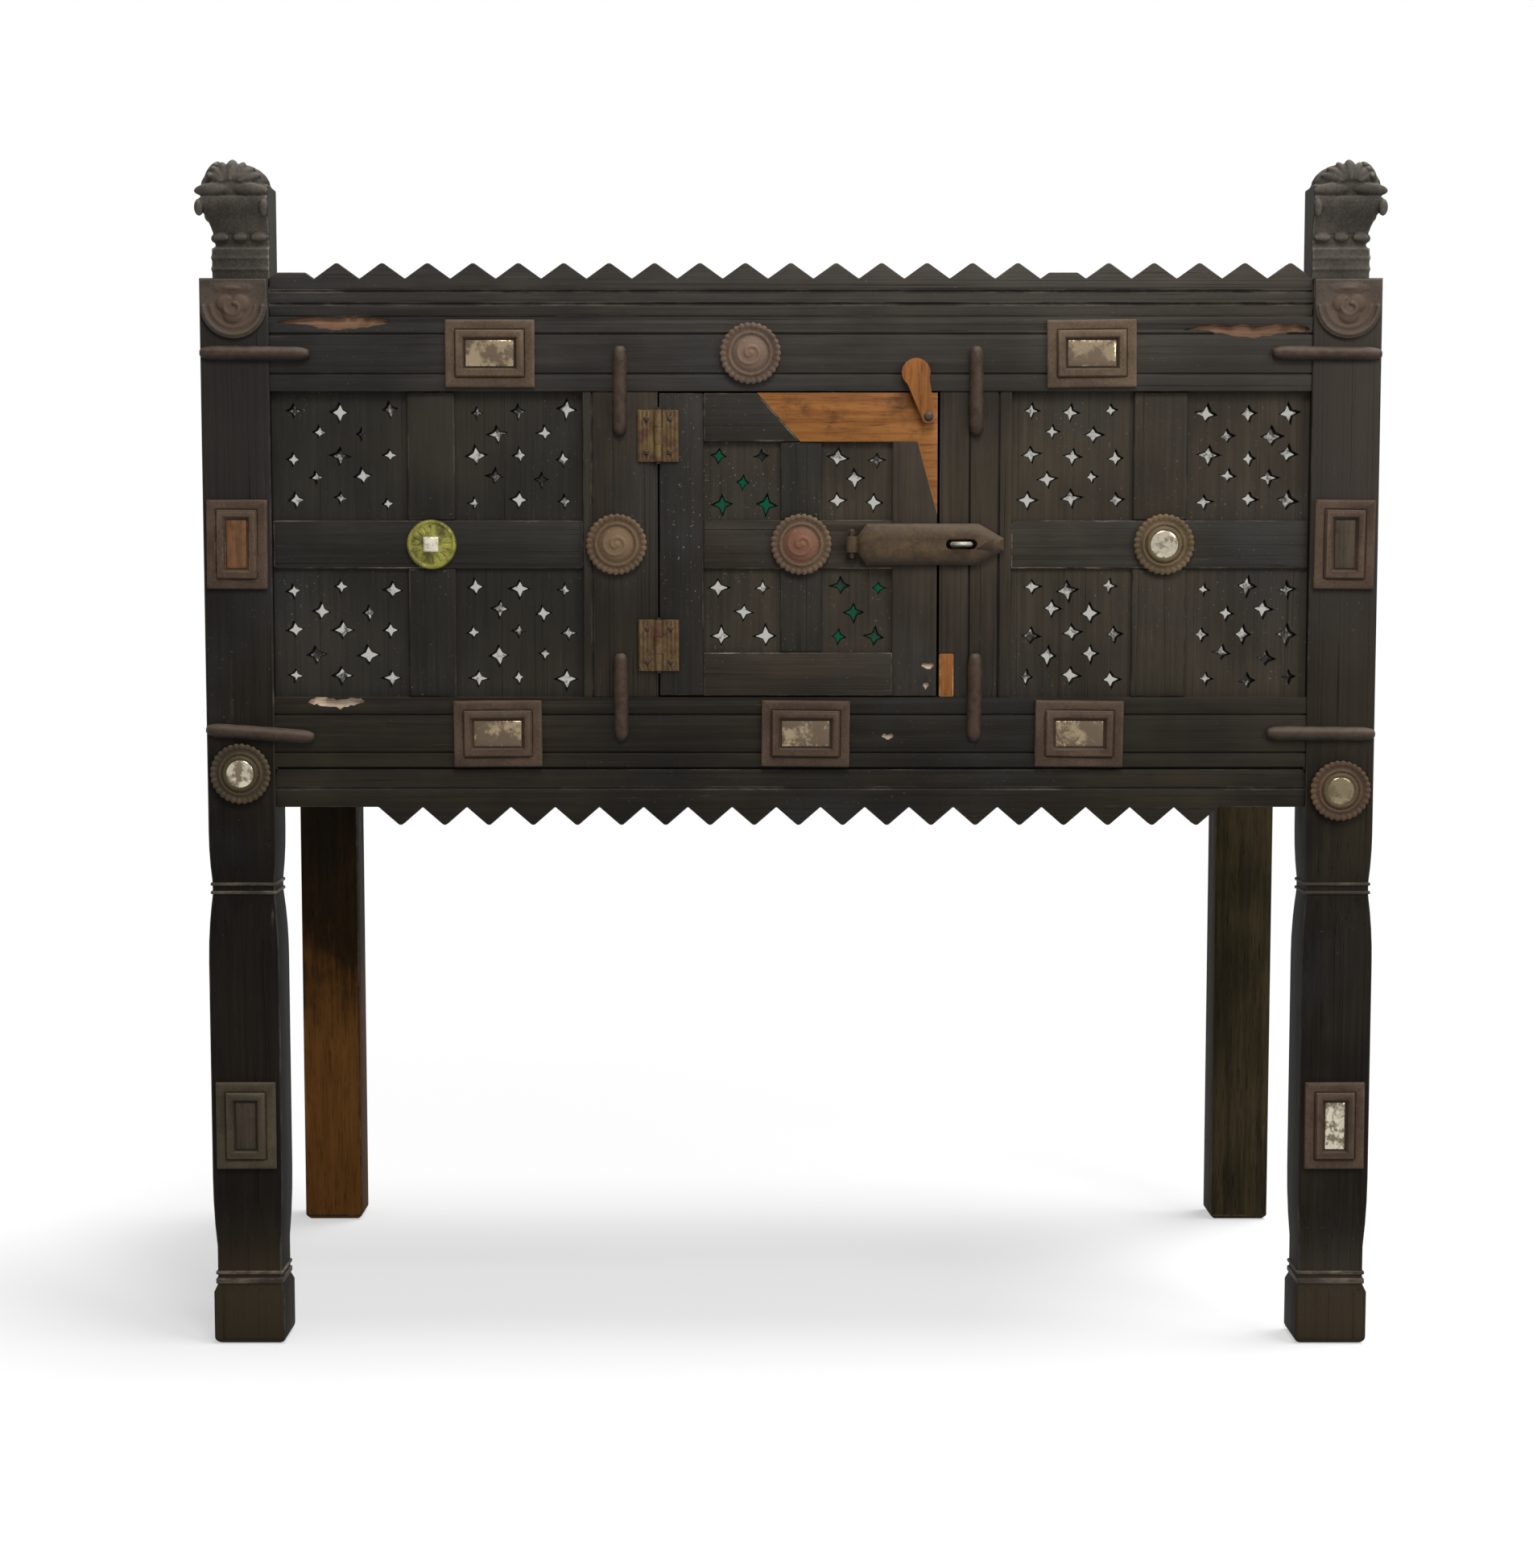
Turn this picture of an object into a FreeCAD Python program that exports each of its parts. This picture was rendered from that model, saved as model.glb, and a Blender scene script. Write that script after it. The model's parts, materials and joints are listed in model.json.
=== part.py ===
import FreeCAD, Part
import os

import Sketcher

# Dowry chest: a joined box hung between four posts, with a small door, star panels over mirror and
# iron fittings.
# Millimetres, +Z up, the front faces -Y, and the origin is on the floor under the middle of the chest.

SIZES = {
    # Posts, from the floor up
    "post_width": 68,
    "post_depth": 52,
    "foot_height": 54,
    "foot_round": 8,
    "foot_swell": 2,
    "foot_bevel": 8,
    "ankle_length": 38,
    "ankle_cut": 1.5,
    "ankle_rise": 72,
    "belly_swell": 1.5,
    "belly_length": 220,
    "neck_fall": 68,
    "neck_cut": 2.5,
    "neck_ring": 12,
    "leg_rise": 50,
    "leg_to_rail": 64,
    "back_post_rise": 26,
    "back_post_chamfer": 5,
    # Finials on the front posts
    "shoulder_step": 11,
    "finial_neck": 35,
    "bead_height": 10,
    "bead_swell": 3,
    "bell_height": 26,
    "bell_flare": 11,
    "lip_height": 6,
    "collar_cut": 5,
    "collar_height": 8,
    "dome_height": 21,
    "dome_swell": 4,
    "dome_cap": 12,
    "dome_round": 16,
    # Front, across
    "case_depth": 560,
    "left_bay_width": 309,
    "left_jamb_width": 74,
    "doorway_width": 280,
    "right_jamb_width": 71,
    "right_bay_width": 296,
    "left_muntin_width": 47,
    "right_muntin_width": 54,
    "left_muntin_shift": 3.5,
    # Front, up
    "bottom_rail_height": 72,
    "lower_field_height": 128,
    "cross_rail_height": 48,
    "upper_field_height": 127,
    "top_rail_height": 73,
    # Front, front to back
    "rail_setback": 2,
    "rail_thickness": 38,
    "jamb_setback": 3.5,
    "jamb_thickness": 36,
    "member_setback": 7,
    "panel_setback": 11,
    "panel_thickness": 8,
    "mirror_thickness": 4,
    "backing_thickness": 10,
    "groove_depth": 6,
    "scored_line": 2,
    "scored_line_inset": 17,
    # Joints of the frame
    "tenon_thickness": 14,
    "tenon_setback": 12,
    "tenon_length": 39,
    "tenon_edge": 12,
    "jamb_tenon_length": 30,
    # Crest and apron
    "toothed_board_setback": 4,
    "toothed_board_thickness": 18,
    "crest_height": 37,
    "crest_tooth_height": 15,
    "crest_tooth_count": 23,
    "apron_height": 38,
    "apron_tooth_height": 18,
    "apron_tooth_count": 19,
    "apron_plain_left": 102,
    "apron_plain_right": 86,
    "tooth_flat": 3,
    "broken_tip": 9,
    # Pierced panels
    "star_size": 21,
    "star_waist": 2.6,
    "star_margin": 9,
    "door_star_margin": 8,
    # Sides, back, top and floor
    "side_setback": 2,
    "side_rail_thickness": 36,
    "side_tenon_length": 30,
    "back_setback": 4,
    "back_rail_thickness": 36,
    "board_thickness": 14,
    "board_groove": 8,
    "side_board_count": 3,
    "back_board_count": 6,
    "top_board_thickness": 20,
    "top_board_count": 4,
    "top_board_overlap": 32,
    "floor_board_thickness": 16,
    "floor_board_count": 4,
    "floor_height": 26,
    "bearer_width": 28,
    "bearer_height": 22,
    # Door
    "door_gap": 1.5,
    "door_thickness": 28,
    "door_stile_width": 44,
    "door_top_rail_height": 48,
    "door_bottom_rail_height": 43,
    "door_muntin_width": 41,
    "door_muntin_shift": 3,
    "door_member_setback": 2,
    "door_panel_setback": 6,
    "door_panel_thickness": 6,
    "door_mirror_thickness": 3.5,
    "door_backing_thickness": 8,
    "door_tenon_thickness": 10,
    "door_tenon_setback": 9,
    "door_tenon_length": 30,
    "door_tenon_edge": 8,
    "patch_depth": 6,
    "patch_length": 179,
    "patch_scarf": 43,
    "patch_tail": 72,
    "patch_tail_width": 20,
    "jamb_patch_width": 15,
    "jamb_patch_height": 44,
    # Hinges
    "hinge_height": 51,
    "hinge_leaf_width": 20,
    "hinge_leaf_thickness": 2.5,
    "lower_hinge_inset": 25,
    "upper_hinge_inset": 17,
    "knuckle_radius": 4,
    "knuckle_gap": 0.4,
    "hinge_clearance": 0.3,
    "hinge_pin_radius": 2,
    "pin_clearance": 0.05,
    "pin_end": 2,
    # Hasp and its two staples
    "hasp_pin_inset": 41,
    "hasp_length": 151,
    "hasp_neck_length": 6,
    "hasp_neck_height": 16,
    "hasp_height": 41,
    "hasp_thickness": 4,
    "hasp_clearance": 0.8,
    "hasp_shoulder": 15,
    "hasp_straight": 111,
    "hasp_tip_height": 12,
    "hasp_eye_wall": 3,
    "wire_radius": 2.5,
    "wire_staple_span": 25,
    "wire_staple_depth": 17,
    "slot_length": 31,
    "slot_height": 10,
    "slot_end_bow": 1,
    "lock_staple_inset": 21,
    "lock_staple_span": 17,
    "lock_staple_reach": 21,
    "lock_staple_depth": 22,
    # Turn-button
    "button_inset": 9.5,
    "button_drop": 24,
    "button_length": 45,
    "button_tail_radius": 6.5,
    "button_shoulder": 11.2,
    "button_shoulder_drop": 8.4,
    "button_thickness": 7,
    "button_clearance": 0.3,
    "button_tilt": 16,
    "button_nail_radius": 2,
    "button_nail_depth": 18,
    "button_nail_head": 5,
    "button_nail_head_height": 2.5,
    # Plaques
    "plaque_length": 88,
    "plaque_breadth": 66,
    "post_plaque_breadth": 60,
    "plaque_step": 9,
    "plaque_base": 5,
    "plaque_rise": 4,
    "plaque_slope": 25,
    "plaque_mirror_margin": 20,
    "plaque_mirror_floor": 3,
    "plaque_mirror_thickness": 2,
    "leg_plaque_height": 226,
    "top_left_plaque_inset": 91,
    "top_right_plaque_inset": 78,
    "bottom_left_plaque_inset": 86,
    "bottom_right_plaque_inset": 69,
    "middle_plaque_shift": 7,
    # Rosettes, shields and the brass disc
    "rosette_radius": 31,
    "rosette_rim": 5,
    "rosette_dish": 2.5,
    "rosette_ring": 8,
    "rosette_boss": 12,
    "rosette_middle": 14,
    "rosette_floor": 4,
    "rosette_centre_thickness": 3,
    "rosette_boss_foot": 10.5,
    "rosette_boss_top": 5.6,
    "top_rosette_shift": 48,
    "jamb_rosette_shift": 4,
    "bay_rosette_shift": 4,
    "left_leg_rosette_drop": 4,
    "right_leg_rosette_drop": 21,
    "scallop_count": 16,
    "scallop_radius": 2.6,
    "shield_width": 66,
    "shield_height": 59,
    "shield_thickness": 5,
    "shield_ring_radius": 24,
    "shield_ring_width": 7,
    "shield_ring_rise": 4,
    "brass_disc_radius": 24.5,
    "brass_disc_height": 6,
    "brass_stud": 15,
    # Iron cramps
    "cramp_length": 108,
    "jamb_cramp_length": 88,
    "cramp_radius": 7.4,
    "cramp_point": 6,
    "cramp_point_radius": 5.4,
    "cramp_leg": 5,
    "cramp_leg_depth": 9,
    "cramp_leg_inset": 12,
    "cramp_on_rail": 40,
}

# Teeth of the crest that have lost their tips, counted from the left
BROKEN_TEETH = (0, 17)

doc = FreeCAD.newDocument("DowryChest")
sheet = doc.addObject("Spreadsheet::Sheet", "Sizes")


class Size:
    """A length that knows its value and the sheet expression that gives it."""

    def __init__(self, value, text):
        self.value = value
        self.text = text

    def __add__(self, other):
        other = as_size(other)
        return Size(self.value + other.value, f"({self.text} + {other.text})")

    def __sub__(self, other):
        other = as_size(other)
        return Size(self.value - other.value, f"({self.text} - {other.text})")

    def __mul__(self, other):
        other = as_size(other)
        return Size(self.value * other.value, f"({self.text} * {other.text})")

    def __truediv__(self, other):
        other = as_size(other)
        return Size(self.value / other.value, f"({self.text} / {other.text})")

    def __neg__(self):
        return Size(-self.value, f"(0 - {self.text})")

    def __radd__(self, other):
        return as_size(other) + self

    def __rsub__(self, other):
        return as_size(other) - self

    def __rmul__(self, other):
        return as_size(other) * self


def as_size(value):
    return value if isinstance(value, Size) else Size(float(value), f"({value})")


class Sheet:
    """The driving dimensions, one attribute for each alias of the spreadsheet."""


dim = Sheet()
for row, (alias, value) in enumerate(SIZES.items(), start=1):
    sheet.set(f"A{row}", str(value))
    sheet.setAlias(f"A{row}", alias)
    setattr(dim, alias, Size(float(value), f"Sizes.{alias}"))
doc.recompute()

nodes = []


def node(label, item):
    """Hands a finished sub-part in under its own name."""
    item.Label = label
    nodes.append(item)
    return item


def bind(item, name, value):
    item.setExpression(name, as_size(value).text)


def place(item, x=0, y=0, z=0):
    for axis, value in (("x", x), ("y", y), ("z", z)):
        bind(item, f"Placement.Base.{axis}", value)


# Solids and booleans


def box(name, x, y, z):
    """A block between two values on each axis."""
    item = doc.addObject("Part::Box", name)
    for size_name, (low, high) in (("Length", x), ("Width", y), ("Height", z)):
        bind(item, size_name, as_size(high) - low)
    place(item, x[0], y[0], z[0])
    return item


def rod(name, radius, length, x, y, z, backwards=False):
    """A cylinder that stands along +Z, or lies along +Y."""
    item = doc.addObject("Part::Cylinder", name)
    bind(item, "Radius", radius)
    bind(item, "Height", length)
    if backwards:
        item.Placement.Rotation = FreeCAD.Rotation(FreeCAD.Vector(1, 0, 0), -90)
    place(item, x, y, z)
    return item


def fuse(name, pieces):
    if len(pieces) == 1:
        return pieces[0]
    item = doc.addObject("Part::MultiFuse", name)
    item.Shapes = pieces
    item.Refine = True
    return item


def carve(name, base, tools):
    item = doc.addObject("Part::Cut", name)
    item.Base = base
    item.Tool = fuse(f"{name}_tools", tools)
    return item


def group(name, pieces):
    item = doc.addObject("Part::Compound", name)
    item.Links = pieces
    return item


# Sketched bodies


def new_body(name, x=0, y=0, z=0):
    item = doc.addObject("PartDesign::Body", name)
    place(item, x, y, z)
    return item


def new_sketch(body, role, lift=0):
    """A sketch on one of the body's own planes, lifted along that plane's normal."""
    item = body.newObject("Sketcher::SketchObject", f"{body.Name}_sketch")
    plane = [feature for feature in body.Origin.OriginFeatures if feature.Role == role][0]
    item.AttachmentSupport = [(plane, "")]
    item.MapMode = "FlatFace"
    bind(item, "AttachmentOffset.Base.z", lift)
    return item


def fix_point(sketch, geometry, point, u, v):
    for kind, value in (("DistanceX", u), ("DistanceY", v)):
        if value is None:
            continue
        value = as_size(value)
        index = sketch.addConstraint(Sketcher.Constraint(kind, -1, 1, geometry, point, value.value))
        sketch.setExpression(f"Constraints[{index}]", value.text)


def corner(u, v):
    """The end of a straight stretch of an outline."""
    return as_size(u), as_size(v), None, None


def bend(u, v, centre_u=None, centre_v=None):
    """The end of an arc of under a half circle, with one coordinate of the arc's centre."""
    return as_size(u), as_size(v), centre_u, centre_v


def bow(chord, rise):
    """Where the centre of a shallow arc lies, measured from its chord towards the arc."""
    half = chord / 2
    return (rise - half * half / rise) / 2


def segment(start, end):
    u0, v0 = start[0].value, start[1].value
    u1, v1 = end[0].value, end[1].value
    first, last = FreeCAD.Vector(u0, v0, 0), FreeCAD.Vector(u1, v1, 0)
    if end[2] is None and end[3] is None:
        return Part.LineSegment(first, last)
    if end[2] is None:
        centre_v = as_size(end[3]).value
        spread = (v0 - centre_v) ** 2 - (v1 - centre_v) ** 2
        centre_u = (u0 * u0 - u1 * u1 + spread) / (2 * (u0 - u1))
    else:
        centre_u = as_size(end[2]).value
        spread = (u0 - centre_u) ** 2 - (u1 - centre_u) ** 2
        centre_v = (v0 * v0 - v1 * v1 + spread) / (2 * (v0 - v1))
    centre = FreeCAD.Vector(centre_u, centre_v, 0)
    outward = (first + last) / 2 - centre
    outward.normalize()
    return Part.Arc(first, centre + outward * (first - centre).Length, last)


def outline(sketch, steps):
    """A closed outline through the ends of its straight and round stretches."""
    base = sketch.GeometryCount
    starts, ends = [], []
    for index, step in enumerate(steps):
        before = steps[index - 1]
        number = sketch.addGeometry(segment(before, step), False)
        start = FreeCAD.Vector(before[0].value, before[1].value, 0)
        forwards = (sketch.getPoint(number, 1) - start).Length < (sketch.getPoint(number, 2) - start).Length
        starts.append(1 if forwards else 2)
        ends.append(2 if forwards else 1)
    for index, step in enumerate(steps):
        here = base + index
        following = (index + 1) % len(steps)
        joint = Sketcher.Constraint("Coincident", here, ends[index], base + following, starts[following])
        sketch.addConstraint(joint)
        fix_point(sketch, here, ends[index], step[0], step[1])
        if step[2] is not None or step[3] is not None:
            fix_point(sketch, here, 3, step[2], step[3])


def rectangle(sketch, u, v):
    outline(sketch, [corner(u[0], v[0]), corner(u[1], v[0]), corner(u[1], v[1]), corner(u[0], v[1])])


def circle(sketch, u, v, radius):
    radius = as_size(radius)
    centre = FreeCAD.Vector(as_size(u).value, as_size(v).value, 0)
    number = sketch.addGeometry(Part.Circle(centre, FreeCAD.Vector(0, 0, 1), radius.value), False)
    fix_point(sketch, number, 3, u, v)
    index = sketch.addConstraint(Sketcher.Constraint("Radius", number, radius.value))
    sketch.setExpression(f"Constraints[{index}]", radius.text)


def pad(body, sketch, length, both_ways=False, slope=None):
    item = body.newObject("PartDesign::Pad", f"{body.Name}_pad")
    item.Profile = sketch
    bind(item, "Length", length)
    if both_ways:
        item.SideType = "Symmetric"
    if slope is not None:
        bind(item, "TaperAngle", slope)
    return item


def pocket(body, sketch, depth):
    """A cut from the sketch towards the body's seat, against the way that pads rise."""
    item = body.newObject("PartDesign::Pocket", f"{body.Name}_pocket")
    item.Profile = sketch
    bind(item, "Length", depth)
    return item


def revolve(body, sketch, angle=360):
    item = body.newObject("PartDesign::Revolution", f"{body.Name}_turned")
    item.Profile = sketch
    item.ReferenceAxis = (sketch, ["H_Axis"])
    item.Angle = angle
    return item


def row_pattern(body, feature, length, count):
    item = body.newObject("PartDesign::LinearPattern", f"{body.Name}_row")
    item.Originals = [feature]
    item.Direction = (feature.Profile[0], ["H_Axis"])
    bind(item, "Length", length)
    bind(item, "Occurrences", count)
    body.Tip = item
    return item


# Levels and planes that the pieces share

ankle_low = dim.foot_height + dim.foot_bevel
ankle_high = ankle_low + dim.ankle_length
belly_low = ankle_high + dim.ankle_rise
belly_high = belly_low + dim.belly_length
neck_low = belly_high + dim.neck_fall
neck_high = neck_low + dim.neck_ring
leg_top = neck_high + dim.leg_rise
rail_base = leg_top + dim.leg_to_rail
opening_low = rail_base + dim.bottom_rail_height
cross_low = opening_low + dim.lower_field_height
cross_high = cross_low + dim.cross_rail_height
opening_high = cross_high + dim.upper_field_height
rail_top = opening_high + dim.top_rail_height
shoulder = rail_top + dim.crest_height
cross_middle = (cross_low + cross_high) / 2
top_rail_middle = (opening_high + rail_top) / 2
bottom_rail_middle = (rail_base + opening_low) / 2

bays_and_jambs = dim.left_bay_width + dim.left_jamb_width + dim.right_jamb_width + dim.right_bay_width
inner_half = (bays_and_jambs + dim.doorway_width) / 2
outer_half = inner_half + dim.post_width
post_middle = inner_half + dim.post_width / 2
left_jamb_outer = dim.left_bay_width - inner_half
doorway_left = left_jamb_outer + dim.left_jamb_width
doorway_right = doorway_left + dim.doorway_width
right_jamb_outer = doorway_right + dim.right_jamb_width
doorway_middle = (doorway_left + doorway_right) / 2
left_jamb_middle = (left_jamb_outer + doorway_left) / 2
right_jamb_middle = (doorway_right + right_jamb_outer) / 2

face_y = (dim.lock_staple_reach - dim.jamb_setback - dim.case_depth) / 2


def behind(distance):
    """The plane at a distance behind the front face of the posts."""
    return face_y + distance


back_post_front = behind(dim.case_depth - dim.post_depth)
panel_back = dim.panel_setback + dim.panel_thickness
member_back = panel_back + dim.mirror_thickness
rail_back = dim.rail_setback + dim.rail_thickness
rail_depth = (behind(dim.rail_setback), behind(rail_back))
jamb_depth = (behind(dim.jamb_setback), behind(dim.jamb_setback + dim.jamb_thickness))
member_depth = (behind(dim.member_setback), behind(member_back))
panel_depth = (behind(dim.panel_setback), behind(panel_back))
mirror_depth = (behind(panel_back), behind(member_back))
backing_depth = (behind(member_back), behind(member_back + dim.backing_thickness))
tenon_front = dim.rail_setback + dim.tenon_setback
tenon_depth = (behind(tenon_front), behind(tenon_front + dim.tenon_thickness))
toothed_back = dim.toothed_board_setback + dim.toothed_board_thickness
toothed_depth = (behind(dim.toothed_board_setback), behind(toothed_back))
side_inner = outer_half - dim.side_setback - dim.side_rail_thickness
side_board_inner = outer_half - dim.side_setback - (dim.side_rail_thickness + dim.board_thickness) / 2
side_board_outer = side_board_inner + dim.board_thickness
back_rail_back = dim.case_depth - dim.back_setback
back_rail_depth = (behind(back_rail_back - dim.back_rail_thickness), behind(back_rail_back))
back_board_middle = back_rail_back - dim.back_rail_thickness / 2
back_board_depth = (
    behind(back_board_middle - dim.board_thickness / 2),
    behind(back_board_middle + dim.board_thickness / 2),
)
front_post_back = behind(dim.post_depth)
bottom_tenon = (rail_base + dim.tenon_edge, opening_low - dim.tenon_edge)
top_tenon = (opening_high + dim.tenon_edge, rail_top - dim.tenon_edge)
groove_height = (opening_low - dim.groove_depth, opening_high + dim.groove_depth)
board_height = (opening_low - dim.board_groove, opening_high + dim.board_groove)

# Pieces let into the frame: what one node gains here, its neighbour loses
sinkings = {}


def let_in(piece, *neighbours):
    """Keeps a piece to be cut from the nodes that hold it."""
    for neighbour in neighbours:
        sinkings.setdefault(neighbour, []).append(piece)
    return piece


def finish(label, pieces, own_cuts=()):
    """Joins a node's pieces and cuts the seats of what is let into it."""
    whole = fuse(f"{label}_whole", pieces)
    cuts = list(own_cuts) + sinkings.get(label, [])
    return node(label, carve(label, whole, cuts) if cuts else whole)


def mirrored(sign, low, high):
    """A range on X, as given or on the other side of the chest."""
    return (low, high) if sign > 0 else (-high, -low)


SIDES = (("left", -1), ("right", 1))
RAILS = (("top", top_tenon, (opening_high, rail_top)), ("bottom", bottom_tenon, (rail_base, opening_low)))


# Front and back rails with their tenons


def long_rails():
    """Rails between the posts, at the front and at the back, top and bottom."""
    pieces = {}
    for face, depth, tenon in (
        ("front", rail_depth, tenon_depth),
        ("back", back_rail_depth, back_board_depth),
    ):
        for level, tenon_height, height in RAILS:
            label = f"{face}_{level}_rail"
            pieces[label] = [box(f"{label}_bar", (-inner_half, inner_half), depth, height)]
            for side, sign in SIDES:
                across = mirrored(sign, inner_half, inner_half + dim.tenon_length)
                piece = box(f"{label}_{side}_tenon", across, tenon, tenon_height)
                pieces[label].append(let_in(piece, f"{face}_post_{side}"))
    return pieces


def side_rails():
    """Rails between a front and a back post."""
    pieces = {}
    for side, sign in SIDES:
        pieces[side] = []
        for level, tenon_height, height in RAILS:
            label = f"{side}_side_{level}_rail"
            across = mirrored(sign, side_inner, outer_half - dim.side_setback)
            bar = box(f"{label}_bar", across, (front_post_back, back_post_front), height)
            tenons = []
            for end, inner, outer in (
                ("front", front_post_back - dim.side_tenon_length, front_post_back),
                ("back", back_post_front, back_post_front + dim.side_tenon_length),
            ):
                across = mirrored(sign, side_board_inner, side_board_outer)
                piece = box(f"{label}_{end}_tenon", across, (inner, outer), tenon_height)
                tenons.append(let_in(piece, f"{end}_post_{side}"))
            pieces[side].append((label, [bar] + tenons))
    return pieces


# Boards of the sides, back, top and floor


def share(low, high, index, count):
    """One board's stretch of a row of equal boards."""
    width = (high - low) / count
    return low + width * index, low + width * (index + 1)


def side_boards(side, sign):
    """Upright boards in the grooves of the side rails and posts."""
    label = f"{side}_side_boards"
    across = mirrored(sign, side_board_inner, side_board_outer)
    depth = (front_post_back - dim.board_groove, back_post_front + dim.board_groove)
    let_in(box(f"{label}_groove", across, depth, board_height), *groove_neighbours(side))
    count = SIZES["side_board_count"]
    boards = []
    for index in range(count):
        boards.append(box(f"{label}_{index}", across, share(*depth, index, dim.side_board_count), board_height))
    return node(label, group(label, boards))


def groove_neighbours(side):
    rails = [f"{side}_side_{level}_rail" for level in ("top", "bottom")]
    return rails + [f"{end}_post_{side}" for end in ("front", "back")]


def back_boards():
    """Upright boards in the grooves of the back rails and posts."""
    across = (-inner_half - dim.board_groove, inner_half + dim.board_groove)
    groove = box("back_boards_groove", across, back_board_depth, board_height)
    let_in(groove, "back_top_rail", "back_bottom_rail", "back_post_left", "back_post_right")
    boards = []
    for index in range(SIZES["back_board_count"]):
        spread = share(*across, index, dim.back_board_count)
        boards.append(box(f"back_boards_{index}", spread, back_board_depth, board_height))
    return node("back_boards", group("back_boards", boards))


def post_corners(name, height):
    """The space that the four posts take out of a row of boards."""
    corners = []
    for side, sign in SIDES:
        across = mirrored(sign, inner_half, outer_half)
        corners.append(box(f"{name}_front_{side}", across, (behind(0), front_post_back), height))
        corners.append(box(f"{name}_back_{side}", across, (back_post_front, behind(dim.case_depth)), height))
    return corners


def lying_boards(label, half, depth, height, count_name):
    """Boards from side to side, the outermost ones notched round the posts."""
    corners = post_corners(f"{label}_corner", height)
    boards = []
    for index in range(SIZES[count_name]):
        spread = share(*depth, index, getattr(dim, count_name))
        board = box(f"{label}_{index}", (-half, half), spread, height)
        boards.append(carve(f"{label}_{index}_notched", board, corners))
    return node(label, group(label, boards))


def floor_bearers(floor_low):
    """Battens under the floor, one at each side and one across the middle."""
    height = (floor_low - dim.bearer_height, floor_low)
    bearers = []
    for side, sign in SIDES:
        across = mirrored(sign, side_inner - dim.bearer_width, side_inner)
        bearers.append(box(f"floor_bearer_{side}", across, (front_post_back, back_post_front), height))
    across = (-dim.bearer_width / 2, dim.bearer_width / 2)
    bearers.append(box("floor_bearer_middle", across, (rail_depth[1], back_rail_depth[0]), height))
    return node("floor_bearers", group("floor_bearers", bearers))


# Posts


def post_steps(middle, half, carved):
    """The outline of a front post seen square on; the finial is carved on one side only."""
    foot = half + dim.foot_swell
    ankle = half - dim.ankle_cut
    belly = half + dim.belly_swell
    neck = half - dim.neck_cut

    def leg(side):
        return [
            corner(middle + side * (foot - dim.foot_round), 0),
            bend(middle + side * foot, dim.foot_round, centre_v=dim.foot_round),
            corner(middle + side * foot, dim.foot_height),
            corner(middle + side * ankle, ankle_low),
            corner(middle + side * ankle, ankle_high),
            bend(middle + side * belly, belly_low, centre_v=belly_low),
            corner(middle + side * belly, belly_high),
            bend(middle + side * neck, neck_low, centre_v=belly_high),
            corner(middle + side * neck, neck_high),
            bend(middle + side * half, leg_top, centre_v=leg_top),
        ]

    def back_down(steps):
        """The same stretch walked the other way."""
        turned = [corner(*steps[-1][:2])]
        for index in range(len(steps) - 1, 0, -1):
            u, v = steps[index - 1][:2]
            turned.append((u, v, steps[index][2], steps[index][3]))
        return turned

    stem = half - dim.shoulder_step
    bead_low = shoulder + dim.finial_neck
    bell_low = bead_low + dim.bead_height
    lip_low = bell_low + dim.bell_height
    collar_low = lip_low + dim.lip_height
    dome_low = collar_low + dim.collar_height
    cap_low = dome_low + dim.dome_height
    top = cap_low + dim.dome_cap
    flare = stem + dim.bell_flare
    collar = flare - dim.collar_cut
    inner = half - dim.collar_cut
    bead_centre = middle + carved * (stem + bow(dim.bead_height, dim.bead_swell))
    dome_centre = middle + carved * (collar + bow(dim.dome_height, dim.dome_swell))
    crown = middle + carved * (collar - dim.dome_round)
    finial = [
        corner(middle + carved * half, shoulder),
        corner(middle + carved * stem, shoulder),
        corner(middle + carved * stem, bead_low),
        bend(middle + carved * stem, bell_low, centre_u=bead_centre),
        bend(middle + carved * flare, lip_low, centre_v=bell_low),
        corner(middle + carved * flare, collar_low),
        corner(middle + carved * collar, collar_low),
        corner(middle + carved * collar, dome_low),
        bend(middle + carved * collar, cap_low, centre_u=dome_centre),
        bend(crown, top, centre_u=crown),
        corner(middle - carved * (inner - dim.dome_round), top),
        bend(middle - carved * inner, cap_low, centre_u=middle - carved * (inner - dim.dome_round)),
        corner(middle - carved * inner, collar_low),
        corner(middle - carved * half, lip_low),
    ]
    return leg(carved) + finial + back_down(leg(-carved))


def front_post(side, sign):
    """The post as two crossing profiles, with the mortises of its rails."""
    label = f"front_post_{side}"
    middle_x = sign * post_middle
    middle_y = behind(dim.post_depth / 2)
    front_form = new_body(f"{label}_front_form", 0, middle_y, 0)
    sketch = new_sketch(front_form, "XZ_Plane")
    outline(sketch, post_steps(middle_x, dim.post_width / 2, sign))
    pad(front_form, sketch, dim.post_depth * 2, both_ways=True)
    side_form = new_body(f"{label}_side_form", middle_x, 0, 0)
    sketch = new_sketch(side_form, "YZ_Plane")
    outline(sketch, post_steps(middle_y, dim.post_depth / 2, -1))
    pad(side_form, sketch, dim.post_width * 2, both_ways=True)
    common = doc.addObject("Part::Common", f"{label}_form")
    common.Base = front_form
    common.Tool = side_form
    return finish(label, [common])


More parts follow.
